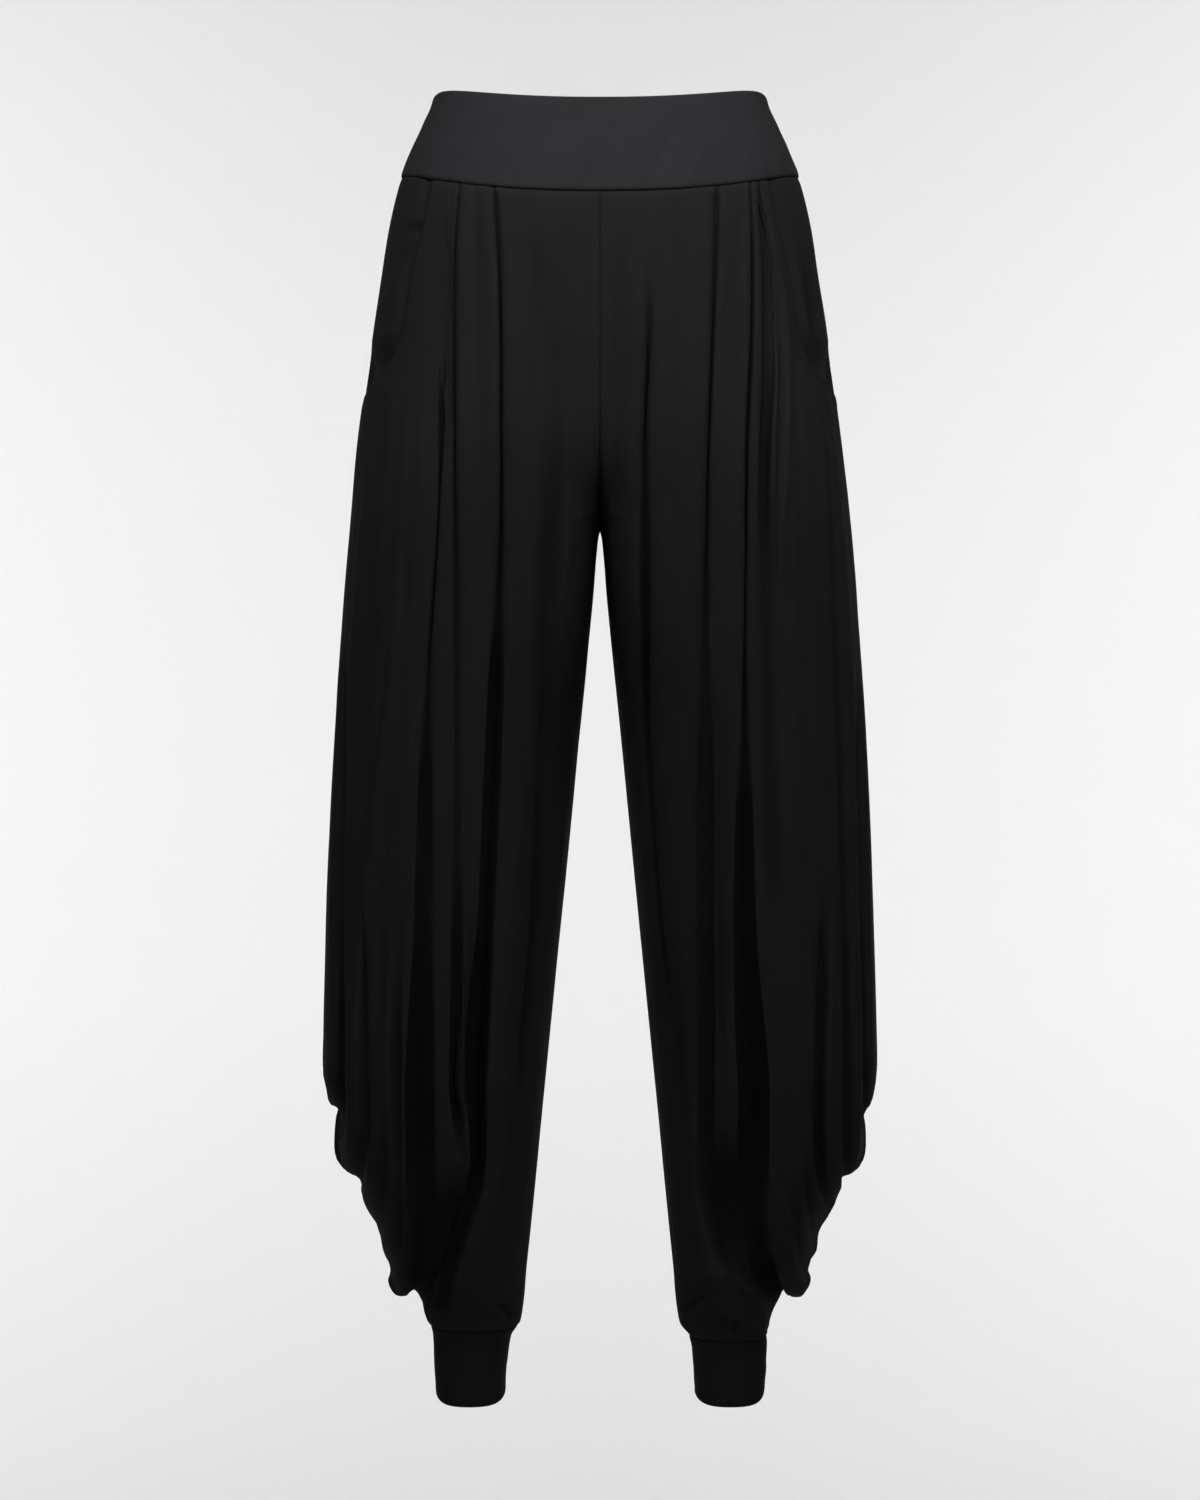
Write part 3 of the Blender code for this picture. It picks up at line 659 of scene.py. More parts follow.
def waves(u: Array, v: Array, seed: int, table: Sequence[Wave]) -> Array:
    """The sum of uneven waves, each a drifting field times its height.

    Args:
        u: Distance across the cloth.
        v: Distance down the cloth.
        seed: The piece's own seed, to which each wave adds its own.
        table: The waves.

    Returns:
        Millimetres out for each point.
    """
    return sum(wave.high * drift(u + wave.shift, v, seed + wave.seed, wave.wide, wave.tall) for wave in table)


@dataclass(frozen=True)
class LegForm:
    """The plain form of the trousers, without their folds: rounded sections at each height."""

    roundness: float = 2.2
    fuller: float = 3.6
    fuller_reach: float = 95.0
    rise_power: float = 5.0
    waist_z: float = -59.5
    crotch_z: float = -330.0
    seam_half: float = -0.1
    seam_dip: float = 28.0
    seam_rise: float = 8.0
    top_dip: float = 14.0
    top_corner: float = 20.0
    top_rise: float = 10.0

    def section(self, z: Array, is_back: bool) -> tuple[Array, Array, Array, Array]:
        """One leg's section at each height.

        Above the crotch the centre moves in to the middle as it nears the waist, and the panel is
        cut off at the middle. The centre's way out is s to a power n times (n + 1 - n s), where s is
        the share of the way down the rise, so that it comes to rest at the crotch.

        Args:
            z: Heights.
            is_back: The section's back half is meant.

        Returns:
            Half width, centre, depth and the seam's place from front to back.
        """
        heights = [row.z for row in SECTIONS]
        outer = curve(heights, [row.outer for row in SECTIONS], z)
        inner = curve(heights, [row.inner for row in SECTIONS], z)
        deep = curve(heights, [row.back if is_back else row.front for row in SECTIONS], z)
        seam = curve(heights, [row.seam for row in SECTIONS], z)
        share = np.clip((self.waist_z - z) / (self.waist_z - self.crotch_z), 0.0, 1.0)
        parting = share**self.rise_power * (1.0 + self.rise_power - self.rise_power * share)
        above = z >= self.crotch_z
        half = np.where(above, outer / (1.0 + parting), (outer - inner) / 2.0)
        centre = np.where(above, parting * half, (outer + inner) / 2.0)
        return half, centre, deep, seam

    def angle_at(self, x: float | Array, z: Array, is_back: bool) -> Array:
        """The angle round the section of a point of its edge, by its distance from the middle.

        Args:
            x: Distance outwards from the middle of the trousers.
            z: Height.
            is_back: The point is on the back.

        Returns:
            The angle, 0 at the section's inner end and pi at its outer end.
        """
        half, centre, deep, _ = self.section(z, is_back)
        across = np.clip((x - centre) / half, -1.0, 1.0)
        power = self.power(across < 0.0, z)
        out = deep * (1.0 - np.abs(across) ** power) ** (1.0 / power)
        return np.arctan2(out, -across * half)

    def power(self, inner: Array, z: Array) -> Array:
        """The superellipse's power: higher on the inner half of the leg, under a bell about the crotch."""
        near = bell(z - self.crotch_z, self.fuller_reach)
        return self.roundness + np.where(inner, self.fuller * near, 0.0)

    def reach(self, angle: Array, z: Array, is_back: bool) -> Array:
        """Distance from the section's centre to its edge, which is a superellipse.

        The distance is (|cos a / half width| to the power n + |sin a / depth| to the power n) to the
        power -1 / n.

        Args:
            angle: Angles a round the section.
            z: Heights.
            is_back: The points are on the back.

        Returns:
            The distance of each point.
        """
        half, _, deep, _ = self.section(z, is_back)
        power = self.power(np.cos(angle) > 0.0, z)
        wide = np.abs(np.cos(angle) / half) ** power
        tall = np.abs(np.sin(angle) / deep) ** power
        return (wide + tall) ** (-1.0 / power)

    def points(self, angle: Array, z: Array, is_back: bool) -> Array:
        """Points of the plain leg, with half a seam's gap kept at the middle and at the side.

        Args:
            angle: Angles round the section.
            z: Heights.
            is_back: The points are on the back.

        Returns:
            The points, each the section's centre plus its reach at that angle.
        """
        _, centre, _, seam = self.section(z, is_back)
        out = self.reach(angle, z, is_back)
        x = centre - out * np.cos(angle) + self.seam_half
        y = np.abs(out * np.sin(angle)) + self.seam_half
        return np.stack([x, seam + (y if is_back else -y), z], axis=-1)

    def depth_share(self, angle: Array, z: Array, is_back: bool) -> Array:
        """How far forward or back a point of the section is, from 0 at the seams to 1 at the middle."""
        _, _, deep, _ = self.section(z, is_back)
        return np.abs(self.reach(angle, z, is_back) * np.sin(angle)) / deep

    def waist_seam_z(self, angle: Array, is_back: bool) -> Array:
        """Height of the seam under the waistband, which dips in front and rises behind."""
        share = self.depth_share(angle, np.full_like(angle, self.waist_z), is_back)
        return self.waist_z + (self.seam_rise if is_back else -self.seam_dip) * share**2

    def waist_top_z(self, angle: Array, is_back: bool) -> Array:
        """Height of the waistband's top edge.

        With s the share of the way from the side to the middle, it rises behind with s squared, and
        dips in front with s cubed, less a rounded corner of s times (1 - s) squared.

        Args:
            angle: Angles round the waist.
            is_back: The edge is on the back.

        Returns:
            The height at each angle.
        """
        share = self.depth_share(angle, np.zeros_like(angle), is_back)
        corner = self.top_corner * share * (1.0 - share) ** 2
        return self.top_rise * share**2 if is_back else corner - self.top_dip * share**3


FORM = LegForm()


@dataclass(frozen=True)
class JerseyFinish:
    """Matte black viscose jersey: its colour, the painted shade for its folds, its nap and the scale of its
    knit, in millimetres.
    """

    dark: Colour = (0.0040, 0.0040, 0.0044, 1.0)
    light: Colour = (0.0072, 0.0071, 0.0078, 1.0)
    # Painted shade: the colour the cloth darkens to where the hollow attribute is 1, in folds, dents and
    # along the pocket mouth
    painted_fold_shade: Colour = (0.0028, 0.0028, 0.0029, 1.0)
    roughness: Span = (0.80, 0.94)
    specular: float = 0.03
    wale: float = 0.62
    course: float = 0.48
    ripple: float = 0.25
    knit_height: float = 0.00006
    knit_strength: float = 0.35
    slub_scale: Span = (220.0, 9.0)
    slub_detail: float = 3.0
    slub_share: float = 0.6
    slub_height: float = 0.00035
    slub_strength: float = 0.25
    mottle_scale: Span = (38.0, 14.0)
    mottle_detail: float = 2.0

    def material(self, piece: str) -> bpy.types.Material:
        """The finish on one piece, in steps of its own UV map, which is in metres of cloth.

        Args:
            piece: The piece's name.

        Returns:
            The material, with painted shade where the mesh's attribute says that the cloth lies deep in a
            fold.
        """
        material = bpy.data.materials.new(piece + "_jersey")
        material.use_nodes = True
        nodes = NodeBench(material.node_tree)
        shader = nodes.find("Principled BSDF")
        across, down = nodes.cloth_metres()
        slub = nodes.stretched_noise(across, down, self.slub_scale, self.slub_detail)
        mottle = nodes.stretched_noise(across, down, self.mottle_scale, self.mottle_detail)
        knit = self.knit(nodes, across, down)
        rest = nodes.math("MULTIPLY", mottle, 1.0 - self.slub_share)
        shade = nodes.math("MULTIPLY_ADD", slub, self.slub_share, rest)
        cloth = nodes.blend(shade, self.dark, self.light)
        # Painted shade: the hollow attribute darkens the cloth towards the painted fold shade colour
        colour = nodes.blend(nodes.attribute("hollow"), cloth, self.painted_fold_shade)
        nodes.link(colour, shader.inputs["Base Color"])
        nodes.link(nodes.between(mottle, *self.roughness), shader.inputs["Roughness"])
        shader.inputs["Specular IOR Level"].default_value = self.specular
        coarse = nodes.bump(slub, self.slub_strength, self.slub_height, None)
        fine = nodes.bump(knit, self.knit_strength, self.knit_height, coarse)
        nodes.link(fine, shader.inputs["Normal"])
        return material

    def scaled(self, by: float) -> "JerseyFinish":
        """The same finish with its colours multiplied: lighter on the band, partly for its own cloth and
        partly as painted light, and darker on the cuffs as painted shade.
        """
        dark, light = (tuple(part * by for part in tone[:3]) + (1.0,) for tone in (self.dark, self.light))
        return replace(self, dark=dark, light=light)

    def knit(self, nodes: "NodeBench", across: Socket, down: Socket) -> Socket:
        """Height of the knit.

        It is the wale's rounded rib, sin(pi f) of the fraction f across a wale, with the courses'
        ripple sin(2 pi (v - leg)) on it, where the leg slants to both sides of the rib.

        Args:
            nodes: The material's nodes.
            across: Distance across the cloth.
            down: Distance down the cloth, v once it is counted in courses.

        Returns:
            The height, from 0 to 1.
        """
        wale = nodes.math("MULTIPLY", across, 1.0 / (self.wale * MM))
        course = nodes.math("MULTIPLY", down, 1.0 / (self.course * MM))
        part = nodes.math("FRACT", wale)
        rib = nodes.math("SINE", nodes.math("MULTIPLY", part, math.pi))
        slant = nodes.math("ABSOLUTE", nodes.math("SUBTRACT", part, 0.5))
        turn = nodes.math("MULTIPLY", nodes.math("SUBTRACT", course, slant), 2.0 * math.pi)
        ripple = nodes.math("MULTIPLY_ADD", nodes.math("SINE", turn), self.ripple, 1.0 - self.ripple)
        return nodes.math("MULTIPLY", rib, ripple)


@dataclass(frozen=True)
class StudioFinish:
    """Plain pale paper of the floor and backdrop."""

    colour: Colour = (0.86, 0.86, 0.86, 1.0)
    roughness: float = 0.9
    specular: float = 0.1

    def material(self) -> bpy.types.Material:
        """The paper, all one tone.

        Returns:
            The material.
        """
        material = bpy.data.materials.new("studio_paper")
        material.use_nodes = True
        shader = material.node_tree.nodes["Principled BSDF"]
        shader.inputs["Base Color"].default_value = self.colour
        shader.inputs["Roughness"].default_value = self.roughness
        shader.inputs["Specular IOR Level"].default_value = self.specular
        return material


@dataclass
class NodeBench:
    """Places and joins the shader nodes of one material."""

    tree: bpy.types.NodeTree

    def find(self, name: str) -> bpy.types.Node:
        """The node of that name."""
        return self.tree.nodes[name]

    def link(self, source: Socket, target: Socket) -> None:
        """Join two sockets."""
        self.tree.links.new(source, target)

    def fill(self, socket: Socket, value: Socket | float | Colour) -> None:
        """Link a socket, or set its value.

        Args:
            socket: The input.
            value: The socket to link it to, or its number or colour.
        """
        if isinstance(value, Socket):
            self.link(value, socket)
        else:
            socket.default_value = value

    def math(self, operation: str, *values: Socket | float) -> Socket:
        """One step of arithmetic.

        Args:
            operation: Its name in Blender.
            values: Sockets and numbers.

        Returns:
            The result.
        """
        node = self.tree.nodes.new("ShaderNodeMath")
        node.operation = operation
        for socket, value in zip(node.inputs, values):
            self.fill(socket, value)
        return node.outputs[0]

    def cloth_metres(self) -> tuple[Socket, Socket]:
        """The two distances along the cloth, from the UV map.

        Returns:
            The distance across and the distance down.
        """
        place = self.tree.nodes.new("ShaderNodeUVMap")
        place.uv_map = "cloth"
        apart = self.tree.nodes.new("ShaderNodeSeparateXYZ")
        self.link(place.outputs["UV"], apart.inputs["Vector"])
        return apart.outputs["X"], apart.outputs["Y"]

    def stretched_noise(self, across: Socket, down: Socket, scale: Span, detail: float) -> Socket:
        """Noise with a scale of its own in each of the cloth's directions.

        Args:
            across: Distance across the cloth.
            down: Distance down the cloth.
            scale: The scale across and down.
            detail: The noise's finer octaves.

        Returns:
            The noise, from 0 to 1.
        """
        together = self.tree.nodes.new("ShaderNodeCombineXYZ")
        self.link(self.math("MULTIPLY", across, scale[0]), together.inputs["X"])
        self.link(self.math("MULTIPLY", down, scale[1]), together.inputs["Y"])
        noise = self.tree.nodes.new("ShaderNodeTexNoise")
        noise.inputs["Scale"].default_value = 1.0
        noise.inputs["Detail"].default_value = detail
        self.link(together.outputs["Vector"], noise.inputs["Vector"])
        return noise.outputs["Fac"]

    def between(self, share: Socket, low: float, high: float) -> Socket:
        """low plus the share of the way to high."""
        return self.math("MULTIPLY_ADD", share, high - low, low)

    def attribute(self, name: str) -> Socket:
        """A number kept at the mesh's points.

        Args:
            name: The attribute's name.

        Returns:
            Its value.
        """
        node = self.tree.nodes.new("ShaderNodeAttribute")
        node.attribute_name = name
        return node.outputs["Fac"]

    def blend(self, share: Socket, first: Socket | Colour, second: Socket | Colour) -> Socket:
        """A colour between two.

        Args:
            share: How far from the first to the second.
            first: A colour or a socket.
            second: A colour or a socket.

        Returns:
            The colour.
        """
        node = self.tree.nodes.new("ShaderNodeMix")
        node.data_type = "RGBA"
        self.link(share, node.inputs["Factor"])
        colours = [socket for socket in node.inputs if socket.type == "RGBA"]
        for socket, value in zip(colours, (first, second)):
            self.fill(socket, value)
        return next(socket for socket in node.outputs if socket.type == "RGBA")

    def bump(self, height: Socket, strength: float, distance: float, normal: Socket | None) -> Socket:
        """A normal tilted by a height.

        Args:
            height: The height, from 0 to 1.
            strength: How much of it shows.
            distance: The height of 1, in metres.
            normal: The normal that it is laid on, if there is one.

        Returns:
            The tilted normal.
        """
        node = self.tree.nodes.new("ShaderNodeBump")
        node.inputs["Strength"].default_value = strength
        node.inputs["Distance"].default_value = distance
        self.link(height, node.inputs["Height"])
        if normal is not None:
            self.link(normal, node.inputs["Normal"])
        return node.outputs["Normal"]


@dataclass
class ClothPiece:
    """A piece of cloth: what it is called, what it stands for, its cut and its thickness."""

    name: str
    node: str
    cut: Cut
    held: Held
    rests_on: tuple[str, ...]
    thickness: float
    finish: JerseyFinish
    leg_x: float = 100.0
    middle_y: float = 5.0

    CORNERS: ClassVar[tuple[tuple[int, int], ...]] = ((0, 0), (1, 0), (1, 1), (0, 1))

    def make(
        self,
        grid: Array,
        hollow: Array | None = None,
        wrapped: bool = False,
        mirrored: bool = False,
    ) -> bpy.types.Object:
        """Solidify gives the mesh its thickness, inwards.

        Args:
            grid: Rows down by columns outwards of points, in millimetres.
            hollow: How far into a fold each point lies, from 0 to 1, which sets the material's painted shade.
            wrapped: The last column joins the first.
            mirrored: The piece is for the wearer's right.

        Returns:
            The piece's object.
        """
        if wrapped:
            grid = np.concatenate([grid, grid[:, :1]], axis=1)
        metres = np.stack([run_length(grid, 1), run_length(grid, 0)], axis=-1) * MM
        if mirrored:
            grid = grid * (-1.0, 1.0, 1.0)
        mesh = self.mesh(grid, metres, wrapped)
        # The hollow attribute carries the painted shade of folds, dents and the pocket mouth
        shade = mesh.attributes.new("hollow", "FLOAT", "POINT")
        if hollow is not None:
            shade.data.foreach_set("value", hollow.astype(np.float32).reshape(-1))
        mesh.materials.append(self.finish.material(self.name))
        piece = bpy.data.objects.new(self.name, mesh)
        bpy.context.scene.collection.objects.link(piece)
        wall = piece.modifiers.new("wall", "SOLIDIFY")
        wall.thickness = self.thickness * MM
        wall.offset = -1.0
        self.declare(piece)
        size = metres.max(axis=(0, 1))
        faces = len(mesh.polygons)
        log.info("%s: %d faces, %.3f by %.3f m along the cloth", self.name, faces, size[0], size[1])
        return piece

    def mesh(self, grid: Array, metres: Array, wrapped: bool) -> bpy.types.Mesh:
        """The piece's mesh, with a face for each cell of the grid.

        Args:
            grid: Rows by columns of points, in millimetres.
            metres: Distance along the cloth both ways, for the UV map.
            wrapped: The last column stands for the first.

        Returns:
            The mesh, its faces outwards.
        """
        rows, columns = grid.shape[:2]
        last = columns - 1 if wrapped else columns
        number = np.arange(rows * last).reshape(rows, last)
        if wrapped:
            number = np.concatenate([number, number[:, :1]], axis=1)
        ends = [(slice(r, rows - 1 + r), slice(c, columns - 1 + c)) for r, c in self.CORNERS]
        faces = np.stack([number[end] for end in ends], axis=-1).reshape(-1, 4)
        cloth = np.stack([metres[end] for end in ends], axis=-2).reshape(-1, 4, 2)
        if self.faces_inwards(grid):
            faces = faces[:, ::-1]
            cloth = cloth[:, ::-1]
        mesh = bpy.data.meshes.new(self.name)
        mesh.from_pydata((grid[:, :last].reshape(-1, 3) * MM).tolist(), [], faces.tolist())
        layer = mesh.uv_layers.new(name="cloth")
        layer.data.foreach_set("uv", cloth.reshape(-1))
        mesh.shade_smooth()
        return mesh

    def declare(self, piece: bpy.types.Object) -> None:
        """Hang the piece on the body that it rides on, and hide the solid that it stands for.

        Args:
            piece: The piece's object.
        """
        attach(piece, BODY)
        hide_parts(self.node)

    def faces_inwards(self, grid: Array) -> bool:
        """Whether the cells' normals point towards the middle line of the leg or of the waist.

        Args:
            grid: Rows by columns of points.

        Returns:
            True if they do, by the sum of the normals' shares along the way out from that line.
        """
        down = np.gradient(grid, axis=0)
        across = np.gradient(grid, axis=1)
        normal = np.cross(down, across)
        inside = np.array([self.inside_x(grid), self.middle_y])
        return float(np.sum(normal[..., :2] * (grid[..., :2] - inside))) < 0.0

    def inside_x(self, grid: Array) -> float:
        """The x of a line inside the leg or the waist that the piece goes round."""
        round_waist = self.node.startswith("waistband")
        return 0.0 if round_waist else float(np.sign(grid[..., 0].mean()) * self.leg_x)


@dataclass
class LegPanel:
    """A front or back panel of a leg, from the waist seam to the cuff and to the looped side."""

    side: Side
    face: Face
    finish: JerseyFinish
    # The cuffs' seams, and how the outer columns turn out to the side below the thigh
    cuff_seams: Span = (-961.0, -953.0)
    fan_z: float = -700.0
    swing_z: float = -760.0
    least_turn: float = 0.01
    turn_length: float = 1.25
    scallop: float = 2.6
    # Rows of each stretch, and how close the fine columns are
    rise_rows: int = 76
    rise_crowd: float = 1.35
    thigh_rows: int = 76
    fan_rows: int = 88
    step: float = 2.45
    step_share: float = 80.0
    edge_places: tuple[float, ...] = (0.0, 0.04, 0.10)
    edge_clear: float = 0.15
    # The cloth, the folds where they hang shut, open, merge and fade, and the depth scale of their painted
    # shade
    cloth: float = 1.1
    closed_wide: float = 4.0
    closed_deep: float = 4.8
    closed_shares: Span = (0.75, 1.25)
    closed_z: Span = (-90.0, -230.0)
    opening: float = 240.0
    floor: float = 0.42
    floor_leans: Span = (2.0, 8.0)
    shade_deep: float = 6.0
    shade_power: float = 1.5
    fold_fades: float = 90.0
    back_shifts: Span = (-100.0, -320.0)
    ridge_crown: float = 0.09
    ridge_most: float = 6.0
    ridge_z: Span = (-120.0, -420.0)
    merge_deep: float = 17.0
    # How far from its edges the panel's relief and creases die out, near and far
    waist_calm: float = 8.0
    cuff_calm: float = 55.0
    calm_sides: Span = (1.0, 14.0)
    calm_ends: Span = (1.0, 12.0)
    calm_middle: Span = (0.5, 12.0)
    # How the bends are rounded
    soften_z: Span = (-220.0, -520.0)
    soften_sides: Span = (2.0, 16.0)
    soften_hem: Span = (0.5, 14.0)
    soften_pull: float = 0.25
    soften_steps: int = 18
    # The uneven fall, and the gathers above the cuff
    seed: int = 11
    fall_start: float = 60.0
    crotch_clear: float = 1.0
    gather_sides: Span = (4.0, 20.0)
    gather_high: Span = (46.0, 4.0)
    gather_low: Span = (1.0, 6.0)
    # Pressed seams, the pocket mouth with the painted shade along its rim, and the V above the crotch
    groove: float = 1.3
    groove_wide: float = 1.6
    mouth_groove: float = 0.5
    mouth_ends: float = 6.0
    seam_near: float = 4.0
    rim_wide: float = 1.3
    rim_shade: float = 0.75
    vee_z: float = -225.0
    vee_deep: float = 2.0
    vee_wide: float = 0.8

    # Worked out from the side and the face
    is_back: bool = field(init=False)
    folds: tuple[Fold, ...] = field(init=False)
    cuff_z: float = field(init=False)
    columns: list[Column] = field(init=False)
    placed: list[int] = field(init=False)
    first: int = field(init=False)
    hem_places: Array = field(init=False)

    CUTS: ClassVar[dict[Face, Cut]] = {
        Face.FRONT: Cut(0.42, 0.96, 0.27),
        Face.BACK: Cut(0.43, 1.00, 0.295),
    }
    CUFF_LEANS: ClassVar[dict[Side, float]] = {Side.RIGHT: 0.75, Side.LEFT: 0.1}
    CUFF_SWINGS: ClassVar[dict[Side, Swing]] = {
        Side.RIGHT: Swing(2.0, 3.2, 2.4),
        Side.LEFT: Swing(2.6, 2.6, 2.0),
    }
    MERGES: ClassVar[dict[Side, Merge]] = {
        Side.RIGHT: Merge(-812.0, -876.0, -908.0, -948.0),
        Side.LEFT: Merge(-790.0, -860.0, -880.0, -928.0),
    }
    LINES: ClassVar[dict[Role, Line]] = {
        Role.LIP: Line(-0.5, 0.0, 0.0),
        Role.ROOT: Line(0.0, -1.0, -0.10),
        Role.DROP: Line(0.5, 0.10, 0.10),
    }
    HANG: ClassVar[tuple[Wave, ...]] = (
        Wave(0.30, 9.0, 150.0),
        Wave(0.16, 4.5, 90.0, 20),
        Wave(0.7, 34.0, 120.0, 40),
    )
    GATHERS: ClassVar[tuple[Wave, ...]] = (Wave(0.9, 4.2, 40.0, 60),)
    POCKET_Z: ClassVar[tuple[float, ...]] = (-60, -100, -148, -185, -203, -217)
    POCKET_X: ClassVar[tuple[float, ...]] = (126, 133, 144, 150, 155.5, 164)
    CROWD_X: ClassVar[tuple[float, ...]] = (119, 124, 129, 132, 134, 136)
    POCKET_END_Z: ClassVar[float] = -238.0
    BELLIES: ClassVar[tuple[str, ...]] = ("lip5", "low5", "belly4", "belly3", "belly2", "belly1", "side")
    FAN_SHARES: ClassVar[tuple[float, ...]] = (0.0, 0.17, 0.34, 0.48, 0.61, 0.73, 0.84, 0.93, 1.0)

    def __post_init__(self) -> None:
        """Lay out the columns of the panel and where each of them ends."""
        self.is_back = self.face.is_back
        self.folds = tuple(FOLDS[self.side].values())
        self.cuff_z = self.cuff_seams[0 if self.side is Side.LEFT else 1]
        self.columns = [Column(Role.EDGE, -1)]
        for number, fold in enumerate(self.folds):
            self.columns += [Column(Role.RIDGE, number)] * fold.plain
            roles = (Role.LIP, Role.ROOT, Role.DROP) if fold.columns == 3 else (Role.ROOT,)
            self.columns += [Column(role, number) for role in roles]
        self.columns += [Column(role, len(self.folds)) for role in (Role.RIDGE, Role.EDGE)]
        self.placed = [number for number, column in enumerate(self.columns) if column.role is not Role.RIDGE]
        self.first, self.hem_places = self.column_ends()

    def column_ends(self) -> tuple[int, Array]:
        """Which columns end at the cuff, and where each of the others meets the side of the leg.

        A fold that runs into a loop meets the side at that loop's lip, root and drop, or the
        outermost one does where several folds share a loop. The columns between are spread evenly.

        Returns:
            The number of columns that end at the cuff, and the others' places along HEM.
        """
        names = [point.name for point in HEM]
        places = [
            role.value + self.folds[owner].loop if role in self.LINES else "" for role, owner in self.columns
        ]
        places[-1] = "side"
        met = {names.index(place): number for number, place in enumerate(places) if place in names}
        first = min(met.values())
        order = sorted(met)
        spread = np.interp(np.arange(first, len(self.columns)), [met[place] for place in order], order)
        return first, spread

    def at_side(self, values: Sequence[float]) -> Array:
        """The values of HEM's points where the columns meet the side, scallops and all."""
        return np.interp(self.hem_places, np.arange(len(HEM)), values)

    def along_bellies(self, values: Sequence[float]) -> Array:
        """The same without the scallops, on a smooth line through the loops' bellies.

        Args:
            values: One value for each point of HEM.

        Returns:
            One value for each column that meets the side.
        """
        names = [point.name for point in HEM]
        bellies = [names.index(name) for name in self.BELLIES]
        return curve(bellies, np.array(values)[bellies], self.hem_places)

    def fold_size(self, fold: Fold, z: Array) -> tuple[Array, Array, Array]:
        """The size of a fold at each height, shut like a pleat above and open below.

        Args:
            fold: The fold.
            z: Heights.

        Returns:
            Its width, its depth, and how far it leans over sideways.
        """
        opened = ramp(z, fold.open, fold.open - self.opening)
        low = ramp(z, FOLD_Z[-2], FOLD_Z[-1])
        wide = self.closed_wide + (fold.wide - self.closed_wide) * opened + (fold.wide_low - fold.wide) * low
        high, deeper = self.closed_shares
        closed = self.closed_deep * (high + (deeper - high) * ramp(z, *self.closed_z))
        deep = closed + (fold.deep - closed) * opened + (fold.deep_low - fold.deep) * low
        here = ramp(z, fold.start, fold.start - fold.eases)
        here = here * (1.0 - ramp(z, fold.fade, fold.fade - self.fold_fades))
        return wide, deep * here * (fold.back_deep if self.is_back else 1.0), wide * opened * here

    def pocket_angle(self, z: Array) -> Array:
        """Where the front panel ends: the pocket mouth above its lower end, and the side seam below.

        Args:
            z: Heights.

        Returns:
            The angle round the leg at each height.
        """
        mouth = FORM.angle_at(curve(self.POCKET_Z, self.POCKET_X, z), z, False)
        share = (self.POCKET_Z[-1] - z) / (self.POCKET_Z[-1] - self.POCKET_END_Z)
        return mouth + (np.pi - mouth) * np.clip(share, 0.0, 1.0)

    def laid_angles(self, z: Array) -> Array:
        """The angle of each column, before the folds swing out to the side.

        Each fold's columns go where the fold is, the columns between are spread evenly, and on the
        front those near the pocket crowd together inside its mouth.

        Args:
            z: Heights, rows by columns.

        Returns:
            Angles, rows by columns.
        """
        angles = np.full(z.shape, np.nan)
        held = np.maximum(z, self.swing_z)
        angles[:, 0] = FORM.angle_at(0.0, z[:, 0], self.is_back)
        angles[:, -1] = np.pi
        for number, (role, owner) in enumerate(self.columns):
            if role not in self.LINES:
                continue
            fold = self.folds[owner]
            at = held[:, number]
            x = curve(FOLD_Z, fold.places, at)
            if self.is_back:
                x = x + fold.back_shift * ramp(at, *self.back_shifts)
            middle = FORM.angle_at(x, at, self.is_back)
            wide, _, _ = self.fold_size(fold, z[:, number])
            angles[:, number] = middle + self.LINES[role].side * wide / FORM.reach(middle, at, self.is_back)
        spread = np.array([np.interp(np.arange(z.shape[1]), self.placed, row[self.placed]) for row in angles])
        spread = np.maximum.accumulate(self.inner_kept(spread, z), axis=1)
        if self.is_back:
            return spread
        start = FORM.angle_at(curve(self.POCKET_Z, self.CROWD_X, z), z, False)
        room = (self.pocket_angle(z) - start) / np.maximum(np.pi - start, 1e-6)
        return np.where(spread > start, start + (spread - start) * room, spread)

    def inner_kept(self, angles: Array, z: Array) -> Array:
        """The angles with the columns inside the first fold spread evenly over x, on the leg's face.

        Args:
            angles: Angles, rows by columns.
            z: Heights, rows by columns.

        Returns:
            The angles again.
        """
        first = self.placed[1]
        ends = [FORM.points(angles[:, [i]], z[:, [i]], self.is_back)[..., 0] for i in (0, first)]
        x = ends[0] + (ends[1] - ends[0]) * np.arange(1, first) / first
        kept = angles.copy()
        kept[:, 1:first] = FORM.angle_at(x, z[:, 1:first], self.is_back)
        return kept

    def top_z(self) -> Array:
        """Height of each column at the waist seam."""
        level = np.full((1, len(self.columns)), FORM.waist_z)
        return (FORM.waist_seam_z(self.laid_angles(level), self.is_back) - FORM.seam_half)[0]

